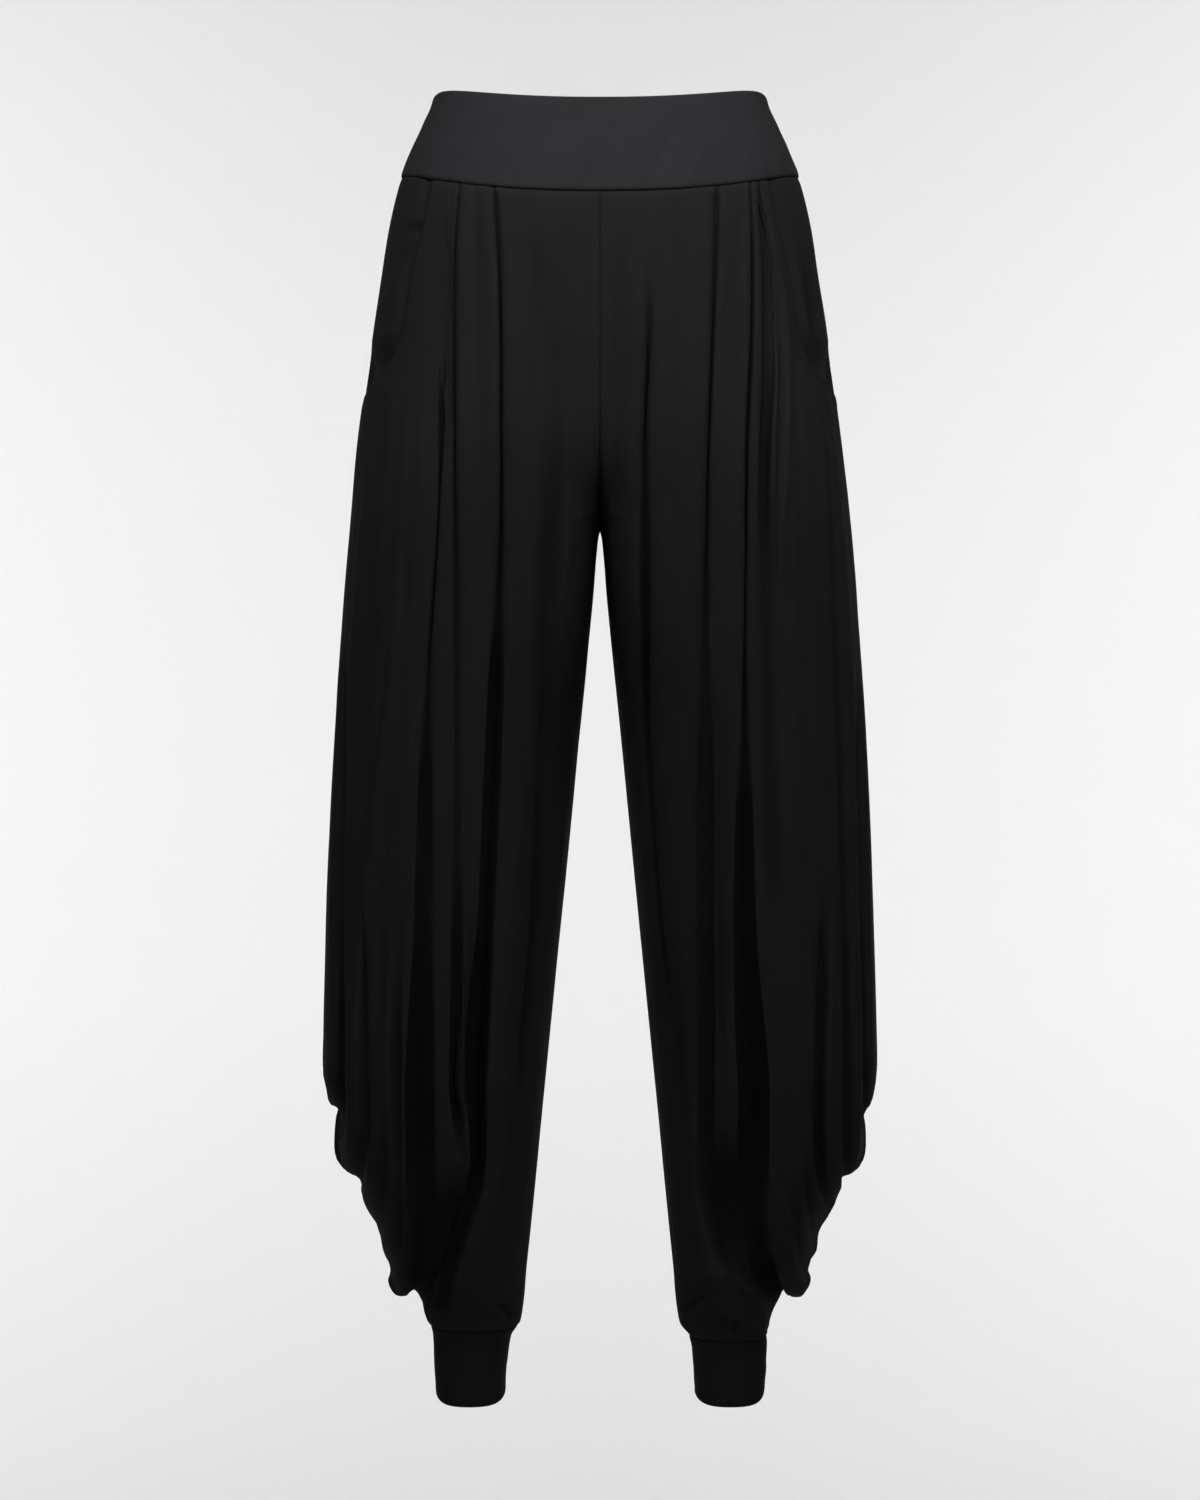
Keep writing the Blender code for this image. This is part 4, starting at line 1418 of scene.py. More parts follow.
    def rows(self) -> tuple[Array, Array]:
        """The height of each column in each row.

        A column that ends at the side falls straight, then turns on a quarter of an ellipse.

        Returns:
            Heights, and how far each column has swung out to the side there, from 0 to 1.
        """
        share = 1.0 - np.linspace(1.0, 0.0, self.rise_rows, endpoint=False)[:, None] ** self.rise_crowd
        rise = self.top_z() + share * (FORM.crotch_z - self.top_z())
        thigh = np.linspace(FORM.crotch_z, self.fan_z, self.thigh_rows, endpoint=False)
        thigh = np.outer(thigh, np.ones(len(self.columns)))
        share = refined(self.FAN_SHARES, self.fan_rows)[:, None]
        cuffed = self.fan_z + share * (self.cuff_z + FORM.seam_half - self.fan_z) * np.ones(self.first)
        end_z = self.along_bellies([point.z for point in HEM])
        turn = self.at_side([point.turn for point in HEM])
        straight = self.fan_z - end_z - turn
        starts = straight / (straight + self.turn_length * turn)
        swing = np.clip((share - starts) / np.maximum(1.0 - starts, 1e-6), 0.0, 1.0) * np.pi / 2.0
        looped = self.fan_z - straight * np.minimum(share / starts, 1.0) - turn * np.sin(swing)
        scallops = self.at_side([point.z for point in HEM]) - end_z
        looped += scallops * (1.0 - np.cos(swing)) ** self.scallop
        z = np.vstack([rise, thigh, np.hstack([cuffed, looped])])
        swung = np.zeros_like(z)
        swung[-self.fan_rows:, self.first:] = 1.0 - np.cos(swing)
        return z, swung

    def crowned(self, number: int, z: Array, angles: Array) -> Array:
        """How far a plain column stands out between the folds beside it.

        The crown is 4 s (1 - s) of the share s of the way between them, times a share of the gap.

        Args:
            number: The column.
            z: Heights, rows by columns.
            angles: Angles, rows by columns.

        Returns:
            Millimetres out in each row.
        """
        before = max(i for i in self.placed if i < number)
        after = min(i for i in self.placed if i > number)
        around = FORM.reach(angles[:, number], z[:, number], self.is_back)
        gap = (angles[:, after] - angles[:, before]) * around
        share = (number - before) / (after - before)
        crown = np.minimum(self.ridge_crown * gap, self.ridge_most) * 4.0 * share * (1.0 - share)
        return crown * ramp(z[:, number], *self.ridge_z)

    def relief(self, z: Array, angles: Array) -> tuple[Array, Array, Array]:
        """How the folds stand on the plain leg.

        Args:
            z: Heights, rows by columns.
            angles: Angles, rows by columns.

        Returns:
            How far each point stands out, how far it leans over inwards, and how deep folds that
            share a loop have merged there.
        """
        out = np.zeros_like(z)
        lean = np.zeros_like(z)
        basin = np.zeros_like(z)
        for number, (role, owner) in enumerate(self.columns):
            if role is Role.RIDGE and 0 < owner < len(self.folds):
                out[:, number] = self.crowned(number, z, angles)
            elif role in self.LINES:
                _, deep, leaning = self.fold_size(self.folds[owner], z[:, number])
                out[:, number] = self.LINES[role].height * deep
                lean[:, number] = self.LINES[role].lean * leaning
        merge = self.MERGES[self.side]
        roots = [number for number, column in enumerate(self.columns) if column.role is Role.ROOT]
        for loop in sorted({fold.loop for fold in self.folds if fold.loop}):
            shared = [number for number in roots if self.folds[self.columns[number].owner].loop == loop]
            if len(shared) > 1:
                merged = slice(shared[0], shared[-1] + 1)
                together = ramp(z[:, merged], merge.starts, merge.whole)
                together = together * (1.0 - ramp(z[:, merged], merge.parts, merge.apart))
                out[:, merged] = np.minimum(out[:, merged], -self.merge_deep * together)
                lean[:, merged] *= 1.0 - together
                basin[:, merged] = self.merge_deep * together
        return out, lean * (1.0 - ramp(z, self.cuff_z + self.cuff_calm, self.cuff_z)), basin

    def drawn_in(self, angles: Array, z: Array) -> Array:
        """The angles with the columns that end at the cuff drawn in to it, in order and never touching.

        Args:
            angles: Angles, rows by columns.
            z: Heights, rows by columns.

        Returns:
            The angles of the columns that end at the cuff.
        """
        kept = angles[:, :self.first]
        near = np.clip((self.swing_z - z) / (self.swing_z - self.cuff_z), 0.0, 1.0)[:, :self.first]
        share = np.linspace(0.0, 1.0, self.first)
        gathered = np.pi * share * (1.0 + self.CUFF_LEANS[self.side] * (1.0 - share))
        swing = self.CUFF_SWINGS[self.side]
        kept = kept + (gathered - kept) * near ** (swing.least + swing.more * share**swing.power)
        apart = self.least_turn * np.arange(self.first)
        return np.maximum.accumulate(kept - apart, axis=1) + apart

    def plain_hung(self, angles: Array, z: Array, swung: Array) -> Array:
        """Points of the leg without its folds, its looped columns hung straight and swung to the side.

        Args:
            angles: Angles, rows by columns.
            z: Heights, rows by columns.
            swung: How far each point has swung out to the side.

        Returns:
            The points.
        """
        looped = np.s_[:, self.first:]
        plain = FORM.points(angles, z, self.is_back)
        end_x = self.along_bellies([point.x for point in HEM])
        scallops = self.at_side([point.x for point in HEM]) - end_x
        level = np.full((1, len(self.columns)), self.swing_z)
        line_x = FORM.points(self.laid_angles(level), level, self.is_back)[0, self.first:, 0]
        hung_x = line_x + (end_x - line_x) * swung[looped]
        x = np.where(z[looped] < self.swing_z, hung_x, plain[..., 0][looped])
        plain[:, self.first:, 0] = x + scallops * swung[looped] ** self.scallop
        return plain

    def folded(self) -> Draped:
        """The panel with its long folds.

        Each point of the plain leg moves out along its normal and leans over along the row. The last
        column that ends at the cuff is bridged between its neighbours where folds have merged.

        Returns:
            The panel in fine rows and the columns of its folds.
        """
        z, swung = self.rows()
        first = self.first
        angles = self.laid_angles(z)
        angles += (np.pi - angles) * swung
        angles[:, :first] = self.drawn_in(angles, z)
        plain = self.plain_hung(angles, z, swung)
        inward = -unit(np.gradient(plain, axis=1))
        out, lean, basin = self.relief(z, angles)
        above = self.cuff_z + self.cuff_calm
        top = self.top_z()
        calm = (1.0 - swung) * (1.0 - ramp(z, above, self.cuff_z)) * ramp(z, top, top - self.waist_calm)
        low = z[:, first:] < self.fan_z
        calm[:, first:] = np.where(low, 1.0 - swung[:, first:] ** 2, calm[:, first:])
        moved = normals(plain, self.is_back) * (out * calm)[..., None]
        grid = plain + moved + inward * (lean * calm)[..., None]
        bridged = basin[:, first - 1, None] / self.merge_deep
        grid[:, first - 1] += ((grid[:, first - 2] + grid[:, first]) / 2.0 - grid[:, first - 1]) * bridged
        return Draped(grid, angles, z, calm, np.minimum(out * calm, -basin), basin)

    def valley_floors(self, draped: Draped, places: Array) -> Array:
        """How much deeper the cloth lies between the lip and the drop of each sharp fold.

        The floor is flat with steep sides: 1 less the fourth power of (2 s - 1) of the share s of
        the way over the fold. It levels out where folds merge.

        Args:
            draped: The panel in the columns of its folds.
            places: The fine columns.

        Returns:
            Millimetres in, rows by fine columns.
        """
        extra = np.zeros((len(draped.z), len(places)))
        for number, (role, owner) in enumerate(self.columns):
            if role is not Role.ROOT or self.folds[owner].columns != 3:
                continue
            share = np.clip((places - number + 1.0) / 2.0, 0.0, 1.0)
            _, deep, leaning = self.fold_size(self.folds[owner], draped.z[:, number])
            flat = 1.0 - (2.0 * share - 1.0) ** 4
            depth = self.floor * deep * beyond(leaning, *self.floor_leans)
            apart = 1.0 - draped.basin[:, number] / self.merge_deep
            extra += (depth * apart * draped.calm[:, number])[:, None] * flat
        return extra

    def fine_places(self, spans: Array) -> Array:
        """Column numbers to read, so that few fine columns are more than a step apart.

        Args:
            spans: Distance between neighbouring columns, in each row.

        Returns:
            Column numbers with their fractions, in order, closer at the two edges.
        """
        wide = np.percentile(spans, self.step_share, axis=0)
        counts = np.maximum(np.ceil(wide / self.step), 2).astype(int)
        places = np.concatenate([number + np.arange(count) / count for number, count in enumerate(counts)])
        inner = places[(places > self.edge_clear) & (places < len(counts) - self.edge_clear)]
        edge = np.array(self.edge_places)
        return np.concatenate([edge, inner, len(counts) - edge[::-1]])

    def seen(self, grid: Array) -> Array:
        """Where each point shows in the view from its own side.

        Args:
            grid: Points, in millimetres.

        Returns:
            (across, down) in steps of the view, in perspective from the eye.
        """
        sign = 1.0 if self.is_back else -1.0
        far = 1.0 - sign * grid[..., 1] / EYE_FAR
        across = grid[..., 0] / far / VIEW_STEP
        if self.side is Side.RIGHT:
            across = -across
        down = VIEW_TOP - (EYE_Z + (grid[..., 2] - EYE_Z) / far) / VIEW_STEP
        return np.stack([VIEW_MIDDLE + across, down], axis=-1)

    def creased(self, grid: Array) -> Array:
        """How far the small creases push each point out.

        Args:
            grid: Points, in millimetres.

        Returns:
            Millimetres out for each point, the sum over the creases that it lies near.
        """
        at = self.seen(grid)
        outward = -1.0 if self.side is Side.RIGHT else 1.0
        push = np.zeros(grid.shape[:2])
        for crease in CREASES[self.face][self.side]:
            line = crease.line()
            margin = CREASE_REACH * crease.wide / VIEW_STEP
            near = np.all((at > line.min(axis=0) - margin) & (at < line.max(axis=0) + margin), axis=-1)
            if near.any():
                push[near] += crease.push(at[near], line, outward)
        return push

    def surface(self) -> tuple[Array, Array]:
        """The finished outer surface of the panel.

        Returns:
            Its points, and the share of painted shade at each of them by how far into a fold it lies:
            1 - exp(-(d / w) to a power) of its depth d, and more along the rim of the pocket mouth.
        """
        draped = self.folded()
        spans = np.linalg.norm(np.diff(draped.grid, axis=1), axis=2)
        places = self.fine_places(spans)
        plain = FORM.points(draped.angles, draped.z, self.is_back)
        fine_angles = np.clip(through_columns(draped.angles, places, spans), 0.0, np.pi)
        fine_plain = FORM.points(fine_angles, through_columns(draped.z, places, spans), self.is_back)
        grid = self.softened(fine_plain + through_columns(draped.grid - plain, places, spans))
        normal = normals(grid, self.is_back)
        across = run_length(grid, 1)
        down = run_length(grid, 0)
        calm = beyond(to_nearer_end(across, 1), *self.calm_sides)
        calm = calm * beyond(to_nearer_end(down, 0), *self.calm_ends)
        calm = calm * beyond(grid[..., 0], *self.calm_middle)
        seed = self.seed + 2 * (self.side is Side.LEFT) + self.is_back
        push = (self.hang(grid, across, seed) + self.creased(grid)) * calm
        push += self.gathers(across, down, seed)
        floors = self.valley_floors(draped, places)
        push -= floors
        sunk = self.pressed(across, down, grid)
        outer = grid + normal * push[..., None] - self.seam_steps(normal, grid, across) * sunk[..., None]
        # Painted shade: the cloth's colour darkens with the depth of each fold
        sunk_by = np.maximum(floors - through_columns(draped.out, places, spans) - push, 0.0)
        hollow = 1.0 - np.exp(-((sunk_by / self.shade_deep) ** self.shade_power))
        # Painted shade along the rim of the pocket mouth
        if not self.is_back:
            mouth = 1.0 - ramp(grid[..., 2], self.POCKET_Z[-1] - self.mouth_ends, self.POCKET_END_Z)
            rim = self.rim_shade * mouth * bell(across[:, -1:] - across, self.rim_wide)
            hollow = np.maximum(hollow, rim)
        return outer, hollow

    def hang(self, grid: Array, across: Array, seed: int) -> Array:
        """The uneven fall of the cloth: long upright waves, two fine and one broad.

        Above the crotch the waves are placed by height, and by the distance from the crotch seam's
        own line, so that they run on evenly where that seam turns under the body.

        Args:
            grid: Points, in millimetres.
            across: Distance across the cloth.
            seed: The panel's own seed.

        Returns:
            Millimetres out for each point.
        """
        step = np.diff(grid, axis=0)
        risen = grid[1:, :, 2] > FORM.crotch_z - self.crotch_clear
        fall = np.where(risen, np.abs(step[..., 2]), np.linalg.norm(step, axis=-1))
        fall = np.concatenate([FORM.waist_z - grid[:1, :, 2], fall])
        down = np.cumsum(fall, axis=0) + self.fall_start
        turned = across + np.abs(grid[:, :1, 1]) * (grid[:, :1, 2] > FORM.crotch_z)
        return waves(turned, down, seed, self.HANG)

    def softened(self, grid: Array) -> Array:
        """The surface with its bends rounded along each row, from the thigh down.

        The points move towards the mean of their two neighbours again and again, the short spans
        pulling harder, while the panel's edges and the waist keep their line.

        Args:
            grid: Points, in millimetres.

        Returns:
            The points again.
        """
        share = ramp(grid[..., 2], *self.soften_z)
        share = share * beyond(to_nearer_end(run_length(grid, 1), 1), *self.soften_sides)
        down = run_length(grid, 0)
        share = share * beyond(down[-1:] - down, *self.soften_hem)
        pulled = self.soften_pull * share[:, 1:-1, None]
        rounded = grid.copy()
        for _ in range(self.soften_steps):
            chord = np.diff(rounded, axis=1)
            length = np.maximum(np.linalg.norm(chord, axis=2, keepdims=True), 1e-3)
            pull = chord[:, 1:] / length[:, 1:] - chord[:, :-1] / length[:, :-1]
            rounded[:, 1:-1] += pull * np.minimum(length[:, 1:], length[:, :-1]) * pulled
        return rounded

    def seam_steps(self, normal: Array, grid: Array, across: Array) -> Array:
        """The normals, laid into the seam's plane near the panel's edges so that the seam stays shut.

        Args:
            normal: The surface's normals.
            grid: Points, in millimetres.
            across: Distance across the cloth.

        Returns:
            Unit vectors.
        """
        step = normal.copy()
        near_inner = bell(across, self.seam_near)
        near_outer = bell(across[:, -1:] - across, self.seam_near)
        risen = grid[:, :1, 2] > FORM.crotch_z
        step[..., 0] *= 1.0 - np.where(risen, near_inner, 0.0)
        step[..., 1] *= 1.0 - np.maximum(np.where(risen, 0.0, near_inner), near_outer)
        return unit(step)

    def gathers(self, across: Array, down: Array, seed: int) -> Array:
        """Small upright ripples where the cloth is drawn into the cuff, dying out upwards.

        Args:
            across: Distance across the cloth.
            down: Distance down the cloth.
            seed: The panel's own seed.

        Returns:
            Millimetres out for each point.
        """
        above = down[-1:] - down
        here = beyond(across, *self.gather_sides) * ramp(above, *self.gather_high)
        return waves(across, down, seed, self.GATHERS) * here * beyond(above, *self.gather_low)

    def pressed(self, across: Array, down: Array, grid: Array) -> Array:
        """How far the cloth sinks at its seams: a groove that dies out as exp(-d / w) from the edge.

        The groove is deeper and wider down the V above the crotch, and shallower along the pocket.

        Args:
            across: Distance across the cloth.
            down: Distance down the cloth.
            grid: Points, in millimetres.

        Returns:
            Millimetres in for each point.
        """
        z = grid[..., 2]
        vee = ramp(z, self.vee_z, FORM.crotch_z) * (z > FORM.crotch_z)
        wide = self.groove_wide * (1.0 + self.vee_wide * vee)
        inner = (1.0 + self.vee_deep * vee) * np.exp(-across / wide)
        outer = np.exp(-(across[:, -1:] - across) / self.groove_wide)
        if not self.is_back:
            seamed = ramp(z[:, -1:], self.POCKET_END_Z + self.mouth_ends, self.POCKET_END_Z - self.mouth_ends)
            outer = outer * (self.mouth_groove + (1.0 - self.mouth_groove) * seamed)
        ends = np.exp(-to_nearer_end(down, 0) / self.groove_wide)
        return self.groove * np.maximum(np.maximum(inner, outer), ends)

    def build(self) -> bpy.types.Object:
        """Make the panel as a piece.

        Returns:
            The piece's object.
        """
        side, face = self.side.value, self.face.value
        piece = ClothPiece(
            name=f"{face}_panel_{side}",
            node=f"{face}_{side}",
            cut=self.CUTS[self.face],
            held=Held.GATHERED,
            rests_on=(f"waistband_{face}",),
            thickness=self.cloth,
            finish=self.finish,
        )
        grid, hollow = self.surface()
        return piece.make(grid, hollow, mirrored=self.side is Side.RIGHT)


@dataclass
class HipYoke:
    """The piece beside the pocket mouth: it lies under the front panel there and meets the side seam."""

    side: Side
    finish: JerseyFinish
    end_z: float = -243.0
    underlap: float = 12.0
    rise: Span = (2.0, 13.0)
    deep: float = 2.2
    deeper: float = 2.6
    deepens: Span = (-110.0, -175.0)
    sinks: Span = (-185.0, -212.0)
    tuck: float = 1.2
    side_near: float = 8.0
    under: Span = (-226.0, -236.0)
    calm: Span = (1.0, 10.0)
    rows: int = 84
    columns: int = 44
    cloth: float = 1.1
    groove: float = 1.2
    groove_wide: float = 1.6
    # Painted shade along the pocket mouth, weaker near the top, and in the dents
    shade_wide: float = 3.2
    shade_high: float = 0.35
    shade_deep: float = 3.0

    CUT: ClassVar[Cut] = Cut(0.10, 0.20, 0.0155)
    DENTS: ClassVar[dict[Side, tuple[Dent, ...]]] = {
        Side.RIGHT: (Dent(-109.0, 7.0, 4.5, 12.0, 2.2), Dent(-128.0, 14.0, 9.0, 6.0, 1.0)),
        Side.LEFT: (Dent(-166.0, 24.0, 26.0, 5.5, 3.4), Dent(-96.0, 9.0, 20.0, 4.0, 1.0)),
    }
    WAVES: ClassVar[tuple[Wave, ...]] = (Wave(0.5, 16.0, 38.0),)
    SEEDS: ClassVar[dict[Side, int]] = {Side.LEFT: 71, Side.RIGHT: 72}

    def surface(self) -> tuple[Array, Array]:
        """The yoke's outer surface, from under the panel's edge out to the side seam.

        It lies deeper than the panel along the mouth, and comes out to the side seam under a bell.
        Each dent is a bell of its own both ways.

        Returns:
            Its points, and how much painted shade each of them takes: more near the mouth and in the dents.
        """
        mouth = LegPanel(self.side, Face.FRONT, self.finish)
        share = np.linspace(0.0, 1.0, self.columns)[None, :]
        start = self.start_angle(mouth, np.array([[FORM.waist_z]]))
        top_z = FORM.waist_seam_z(start + (np.pi - start) * share, False) - FORM.seam_half
        z = top_z + (self.end_z - top_z) * np.linspace(0.0, 1.0, self.rows)[:, None]
        start = self.start_angle(mouth, z)
        angles = start + (np.pi - start) * share
        plain = FORM.points(angles, z, False)
        from_mouth = (angles - mouth.pocket_angle(z)) * FORM.reach(angles, z, False)
        risen = beyond(from_mouth, *self.rise) * (1.0 - ramp(z, *self.sinks))
        deep = self.deep + self.deeper * ramp(z, *self.deepens)
        deep = deep * (1.0 - risen) + self.tuck * ramp(z, *self.sinks)
        dents = sum(
            dent.deep * bell(z - dent.z, dent.tall) * bell(from_mouth - dent.beyond, dent.wide)
            for dent in self.DENTS[self.side]
        )
        across, down = run_length(plain, 1), run_length(plain, 0)
        from_side = across[:, -1:] - across
        deep = deep * (1.0 - bell(from_side, self.side_near) * (1.0 - ramp(z, *self.under)))
        edge = np.minimum(from_side, down)
        deep = deep + self.groove * np.exp(-edge / self.groove_wide)
        wave = waves(across, down, self.SEEDS[self.side], self.WAVES)
        deep = deep + (dents - wave) * beyond(edge, *self.calm)
        # Painted shade along the pocket mouth, weaker near the top, and in the dents
        shade = self.shade_high + (1.0 - self.shade_high) * ramp(z, *self.deepens)
        near = bell(np.maximum(from_mouth, 0.0), self.shade_wide) * shade
        hollow = np.maximum(near, 1.0 - np.exp(-dents / self.shade_deep))
        return plain - normals(plain, False) * deep[..., None], hollow

    def start_angle(self, mouth: LegPanel, z: Array) -> Array:
        """The angle of the yoke's inner edge, which is the underlap inside the pocket mouth.

        Args:
            mouth: The front panel.
            z: Heights.

        Returns:
            The angle at each height.
        """
        angle = mouth.pocket_angle(z)
        return angle - self.underlap / FORM.reach(angle, z, False)

    def build(self) -> bpy.types.Object:
        """Make the yoke as a piece.

        Returns:
            The piece's object.
        """
        side = self.side.value
        piece = ClothPiece(
            name=f"hip_yoke_{side}",
            node=f"hip_{side}",
            cut=self.CUT,
            held=Held.HUNG,
            rests_on=("waistband_front",),
            thickness=self.cloth,
            finish=self.finish,
        )
        grid, hollow = self.surface()
        return piece.make(grid, hollow, mirrored=self.side is Side.RIGHT)


@dataclass
class Waistband:
    """The front or back half of the wide contoured band, from one side seam round to the other."""

    face: Face
    finish: JerseyFinish
    proud: float = 0.9
    cloth: float = 2.2
    rows: int = 40
    columns: int = 260
    edge_round: float = 1.4
    edge_wide: float = 1.1
    seam_groove: float = 1.0
    seam_wide: float = 1.6
    calm_sides: Span = (1.0, 12.0)
    calm_ends: Span = (1.0, 10.0)
    seed: int = 81

    CUTS: ClassVar[dict[Face, Cut]] = {
        Face.FRONT: Cut(0.42, 0.09, 0.029),
        Face.BACK: Cut(0.41, 0.08, 0.0245),
    }
    ROW_SHARES: ClassVar[tuple[float, ...]] = (0.0, 0.04, 0.2, 0.5, 0.8, 0.96, 1.0)
    WAVES: ClassVar[tuple[Wave, ...]] = (Wave(0.45, 46.0, 24.0), Wave(0.18, 14.0, 16.0, 5))

    def surface(self) -> Array:
        """The band's outer surface: the leg's form, standing proud, with its edges rounded off.

        Returns:
            Its points, rows down from its top edge.
        """
        is_back = self.face.is_back
        across = np.linspace(-1.0, 1.0, self.columns)[None, :]
        level = np.pi / 2.0 * (1.0 + np.abs(across))
        low = FORM.waist_seam_z(level, is_back) + FORM.seam_half
        high = FORM.waist_top_z(level, is_back)
        z = high + (low - high) * refined(self.ROW_SHARES, self.rows)[:, None]
        middle = FORM.angle_at(0.0, z, is_back)
        plain = FORM.points(middle + (np.pi - middle) * np.abs(across), z, is_back)
        plain[..., 0] *= np.where(across < 0.0, -1.0, 1.0)
        normal = normals(plain, is_back)
        along, down = run_length(plain, 1), run_length(plain, 0)
        side_edge, end_edge = to_nearer_end(along, 1), to_nearer_end(down, 0)
        sunk = self.edge_round * np.exp(-end_edge / self.edge_wide)
        sunk = sunk + self.seam_groove * np.exp(-side_edge / self.seam_wide)
        wave = waves(along, down, self.seed + is_back, self.WAVES)
        calm = beyond(side_edge, *self.calm_sides) * beyond(end_edge, *self.calm_ends)
        return plain + normal * (self.proud - sunk + wave * calm)[..., None]

    def build(self) -> bpy.types.Object:
        """Make the band's half as a piece.

        Returns:
            The piece's object.
        """
        face = self.face.value
        piece = ClothPiece(
            name=f"band_{face}",
            node=f"waistband_{face}",
            cut=self.CUTS[self.face],
            held=Held.STRETCHED,
            rests_on=(),
            thickness=self.cloth,
            finish=self.finish,
        )
        return piece.make(self.surface())


@dataclass
class AnkleCuff:
    """A narrow doubled band round the ankle."""

    side: Side
    finish: JerseyFinish
    hem_z: float = -1012.0
    cut_wide: float = 0.19
    corner: float = 4.0
    inset: float = 0.4
    cloth: float = 1.8
    rows: int = 44
    columns: int = 150
    edge_round: float = 1.0
    edge_wide: float = 1.0
    calm: Span = (1.0, 8.0)
    wave_reach: float = 30.0
    wave_start: float = 60.0

    ROW_SHARES: ClassVar[tuple[float, ...]] = (0.0, 0.03, 0.15, 0.5, 0.85, 0.97, 1.0)
    WAVES: ClassVar[tuple[Wave, ...]] = (Wave(0.35, 13.0, 20.0), Wave(0.3, 30.0, 9.0, 5, 100.0))
    SEEDS: ClassVar[dict[Side, int]] = {Side.LEFT: 92, Side.RIGHT: 91}

    def seam_z(self) -> float:
        """Height of the seam where the cuff is sewn to the leg."""
        return LegPanel(self.side, Face.FRONT, self.finish).cuff_z

    def surface(self) -> Array:
        """The cuff's outer surface, its hem raised at both sides by the fourth power of the cosine.

        Returns:
            Its points, rows down from its seam and columns all the way round.
        """
        angles = np.linspace(0.0, 2.0 * np.pi, self.columns, endpoint=False)[None, :]
        top = self.seam_z() - FORM.seam_half
        hem = self.hem_z + self.corner * np.cos(angles) ** 4
        z = top + (hem - top) * refined(self.ROW_SHARES, self.rows)[:, None]
        angles = angles * np.ones_like(z)
        halves = [FORM.points(angles, z, is_back) for is_back in (False, True)]
        ring = np.where((angles > np.pi)[..., None], halves[1], halves[0])
        centre = np.array([ring[..., 0].mean(), ring[..., 1].mean()])
        away = unit(ring[..., :2] - centre)
        down = run_length(ring, 0)
        end_edge = to_nearer_end(down, 0)
        turn = np.cos(angles) * self.wave_reach + self.wave_start
        wave = waves(turn, down, self.SEEDS[self.side], self.WAVES) * beyond(end_edge, *self.calm)
        sunk = self.inset + self.edge_round * np.exp(-end_edge / self.edge_wide) - wave
        outer = ring.copy()
        outer[..., :2] -= away * sunk[..., None]
        return outer

    def build(self) -> bpy.types.Object:
        """Make the cuff as a piece.

        Returns:
            The piece's object.
        """
        side = self.side.value
        tall = (self.seam_z() - self.hem_z) * MM
        piece = ClothPiece(
            name=f"ankle_cuff_{side}",
            node=f"cuff_{side}",
            cut=Cut(self.cut_wide, tall, self.cut_wide * tall),
            held=Held.STRETCHED,
            rests_on=(f"front_panel_{side}", f"back_panel_{side}"),
            thickness=self.cloth,
            finish=self.finish,
        )
        return piece.make(self.surface(), wrapped=True, mirrored=self.side is Side.RIGHT)


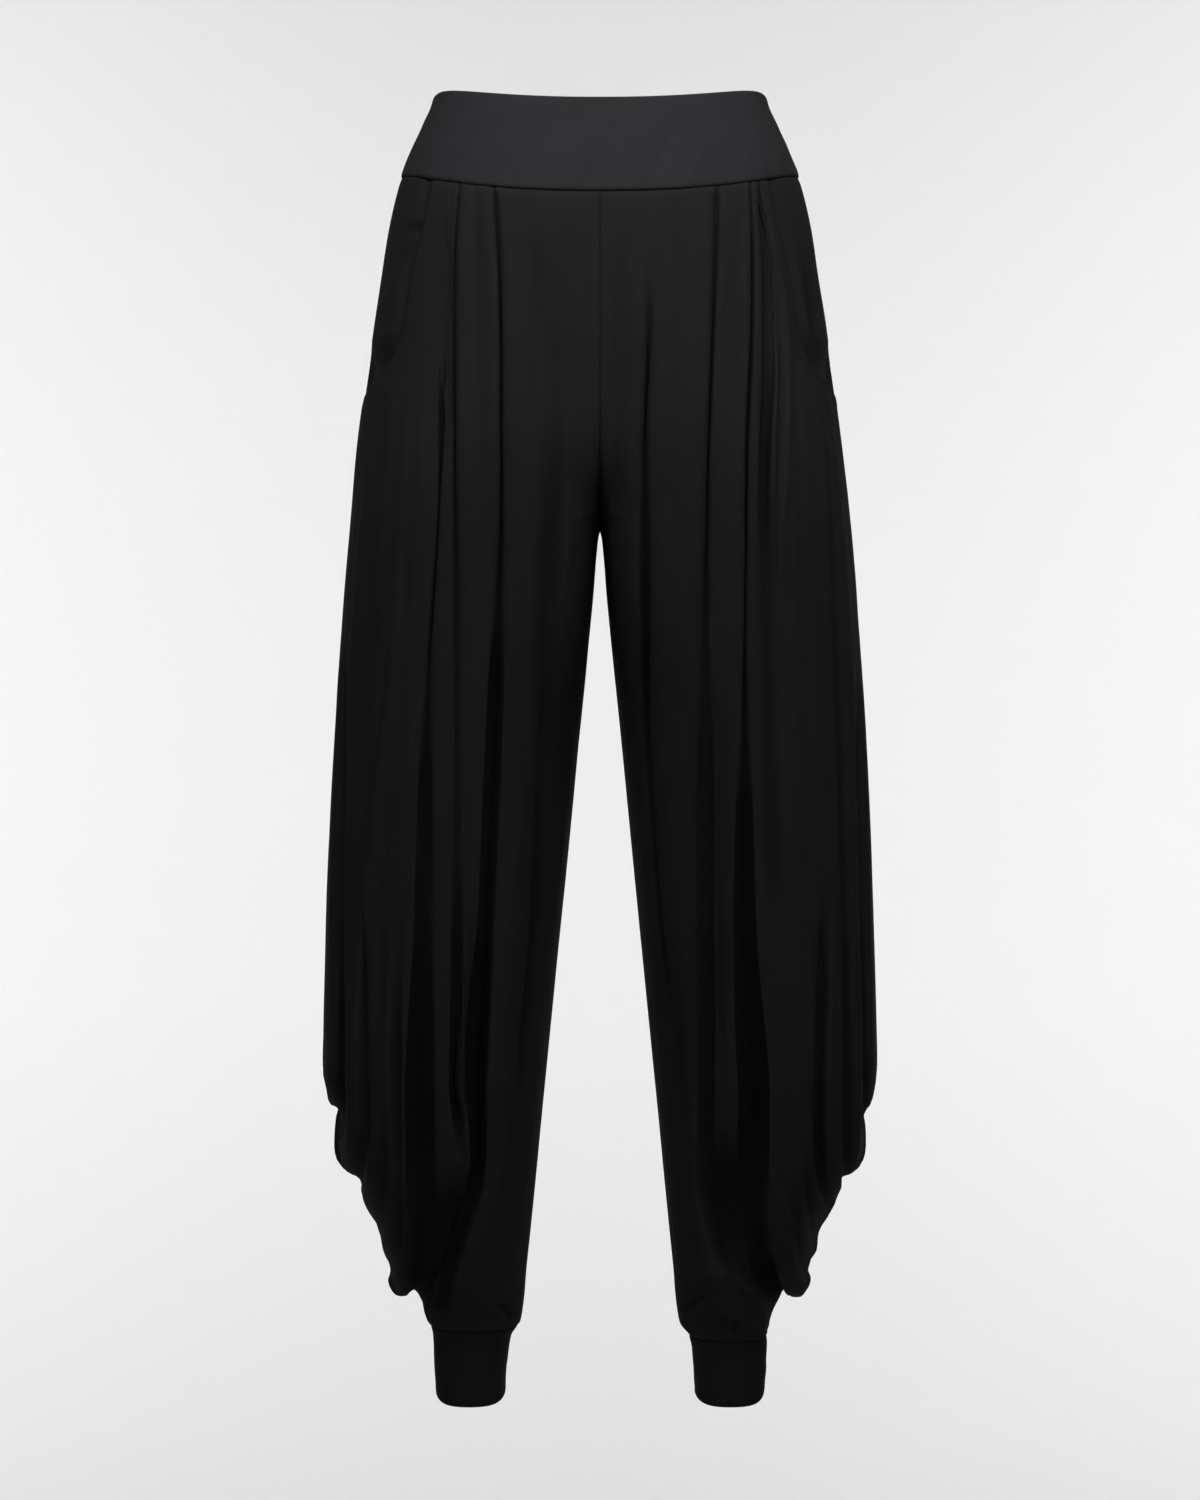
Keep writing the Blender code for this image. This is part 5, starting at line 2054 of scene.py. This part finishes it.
@dataclass
class Studio:
    """A pale sweep of paper, soft lights and the camera at the view's distance, in metres."""

    finish: StudioFinish
    eye: Point = (0.0, -2.4, -0.504)
    tall: float = 1.17
    sensor: float = 36.0
    floor_z: float = -1.90
    bend: float = 0.9
    bend_steps: int = 25
    wide: float = 6.0
    near: float = -5.0
    far: float = 3.8
    high: float = 4.0
    ambient: float = 0.07

    LAMPS: ClassVar[tuple[Lamp, ...]] = (
        Lamp("key", (0.02, -0.60, 0.55), (0.0, -0.1, -0.40), (1.7, 0.3), 31.0),
        Lamp("fill", (0.5, -2.4, 0.75), (0.0, 0.0, -0.25), (1.8, 0.9), 24.0),
        Lamp("low_left", (-1.7, -2.0, -1.05), (-0.15, 0.0, -0.80), (0.9, 0.6), 9.0),
        Lamp("low_right", (1.7, -2.0, -1.05), (0.15, 0.0, -0.80), (0.9, 0.6), 8.0),
        Lamp("paper_left", (-2.4, 1.7, -0.2), (-0.4, 3.8, -0.5), (1.2, 5.0), 64.0),
        Lamp("paper_right", (2.4, 1.7, -0.2), (0.4, 3.8, -0.5), (1.2, 5.0), 64.0),
    )

    def camera(self) -> bpy.types.Object:
        """The camera, which looks level at the trousers and takes in the view's height.

        Returns:
            The camera's object.
        """
        data = bpy.data.cameras.new("camera")
        data.sensor_width = self.sensor
        data.lens = self.sensor * -self.eye[1] / self.tall
        camera = bpy.data.objects.new("camera", data)
        camera.location = self.eye
        camera.rotation_euler = (math.pi / 2.0, 0.0, 0.0)
        bpy.context.scene.collection.objects.link(camera)
        bpy.context.scene.camera = camera
        return camera

    def sweep(self) -> bpy.types.Object:
        """The floor, which bends up on a quarter circle into the backdrop.

        Returns:
            The sweep's object.
        """
        turn = np.linspace(0.0, np.pi / 2.0, self.bend_steps)
        y = np.concatenate([[self.near], self.far - self.bend + self.bend * np.sin(turn), [self.far]])
        z = np.concatenate([[0.0], self.bend - self.bend * np.cos(turn), [self.high]]) + self.floor_z
        x = np.array([-self.wide / 2.0, self.wide / 2.0])
        points = np.stack(np.broadcast_arrays(x[None, :], y[:, None], z[:, None]), axis=-1)
        row = np.arange(len(y) - 1) * 2
        faces = np.stack([row, row + 1, row + 3, row + 2], axis=-1)
        mesh = bpy.data.meshes.new("backdrop")
        mesh.from_pydata(points.reshape(-1, 3).tolist(), [], faces.tolist())
        mesh.shade_smooth()
        mesh.materials.append(self.finish.material())
        backdrop = bpy.data.objects.new("backdrop", mesh)
        bpy.context.scene.collection.objects.link(backdrop)
        return backdrop

    def light(self, lamp: Lamp) -> bpy.types.Object:
        """A soft rectangular light that faces a point.

        Args:
            lamp: Its place, size and power.

        Returns:
            The light's object.
        """
        data = bpy.data.lights.new(lamp.name, "AREA")
        data.shape = "RECTANGLE"
        data.size, data.size_y = lamp.size
        data.energy = lamp.watts
        light = bpy.data.objects.new(lamp.name, data)
        light.location = lamp.place
        ray = Vector(lamp.target) - Vector(lamp.place)
        light.rotation_euler = ray.to_track_quat("-Z", "Y").to_euler()
        bpy.context.scene.collection.objects.link(light)
        return light

    def build(self) -> None:
        """Make the stage, the lights, the sky and the camera."""
        self.camera()
        self.sweep()
        for lamp in self.LAMPS:
            self.light(lamp)
        world = bpy.data.worlds.new("studio_air")
        world.use_nodes = True
        air = world.node_tree.nodes["Background"]
        air.inputs["Color"].default_value = (1.0, 1.0, 1.0, 1.0)
        air.inputs["Strength"].default_value = self.ambient
        bpy.context.scene.world = world
        bpy.context.scene.view_settings.view_transform = "Standard"


def main() -> None:
    """Make the pieces in the order they are sewn, then the studio."""
    logging.basicConfig(level=logging.INFO, format="%(name)s: %(message)s")
    jersey = JerseyFinish()
    for face in Face:
        # The band's finish is lighter, partly for its own doubled cloth and partly as painted light from
        # above
        Waistband(face, jersey.scaled(BAND_TONE_AND_PAINTED_LIGHT)).build()
    for side in Side:
        HipYoke(side, jersey).build()
        for face in Face:
            LegPanel(side, face, jersey).build()
        # The cuffs' finish is darker, as painted shade for the light falling off near the floor
        AnkleCuff(side, jersey.scaled(CUFF_PAINTED_SHADE)).build()
    Studio(StudioFinish()).build()


if __name__ == "__main__":
    main()
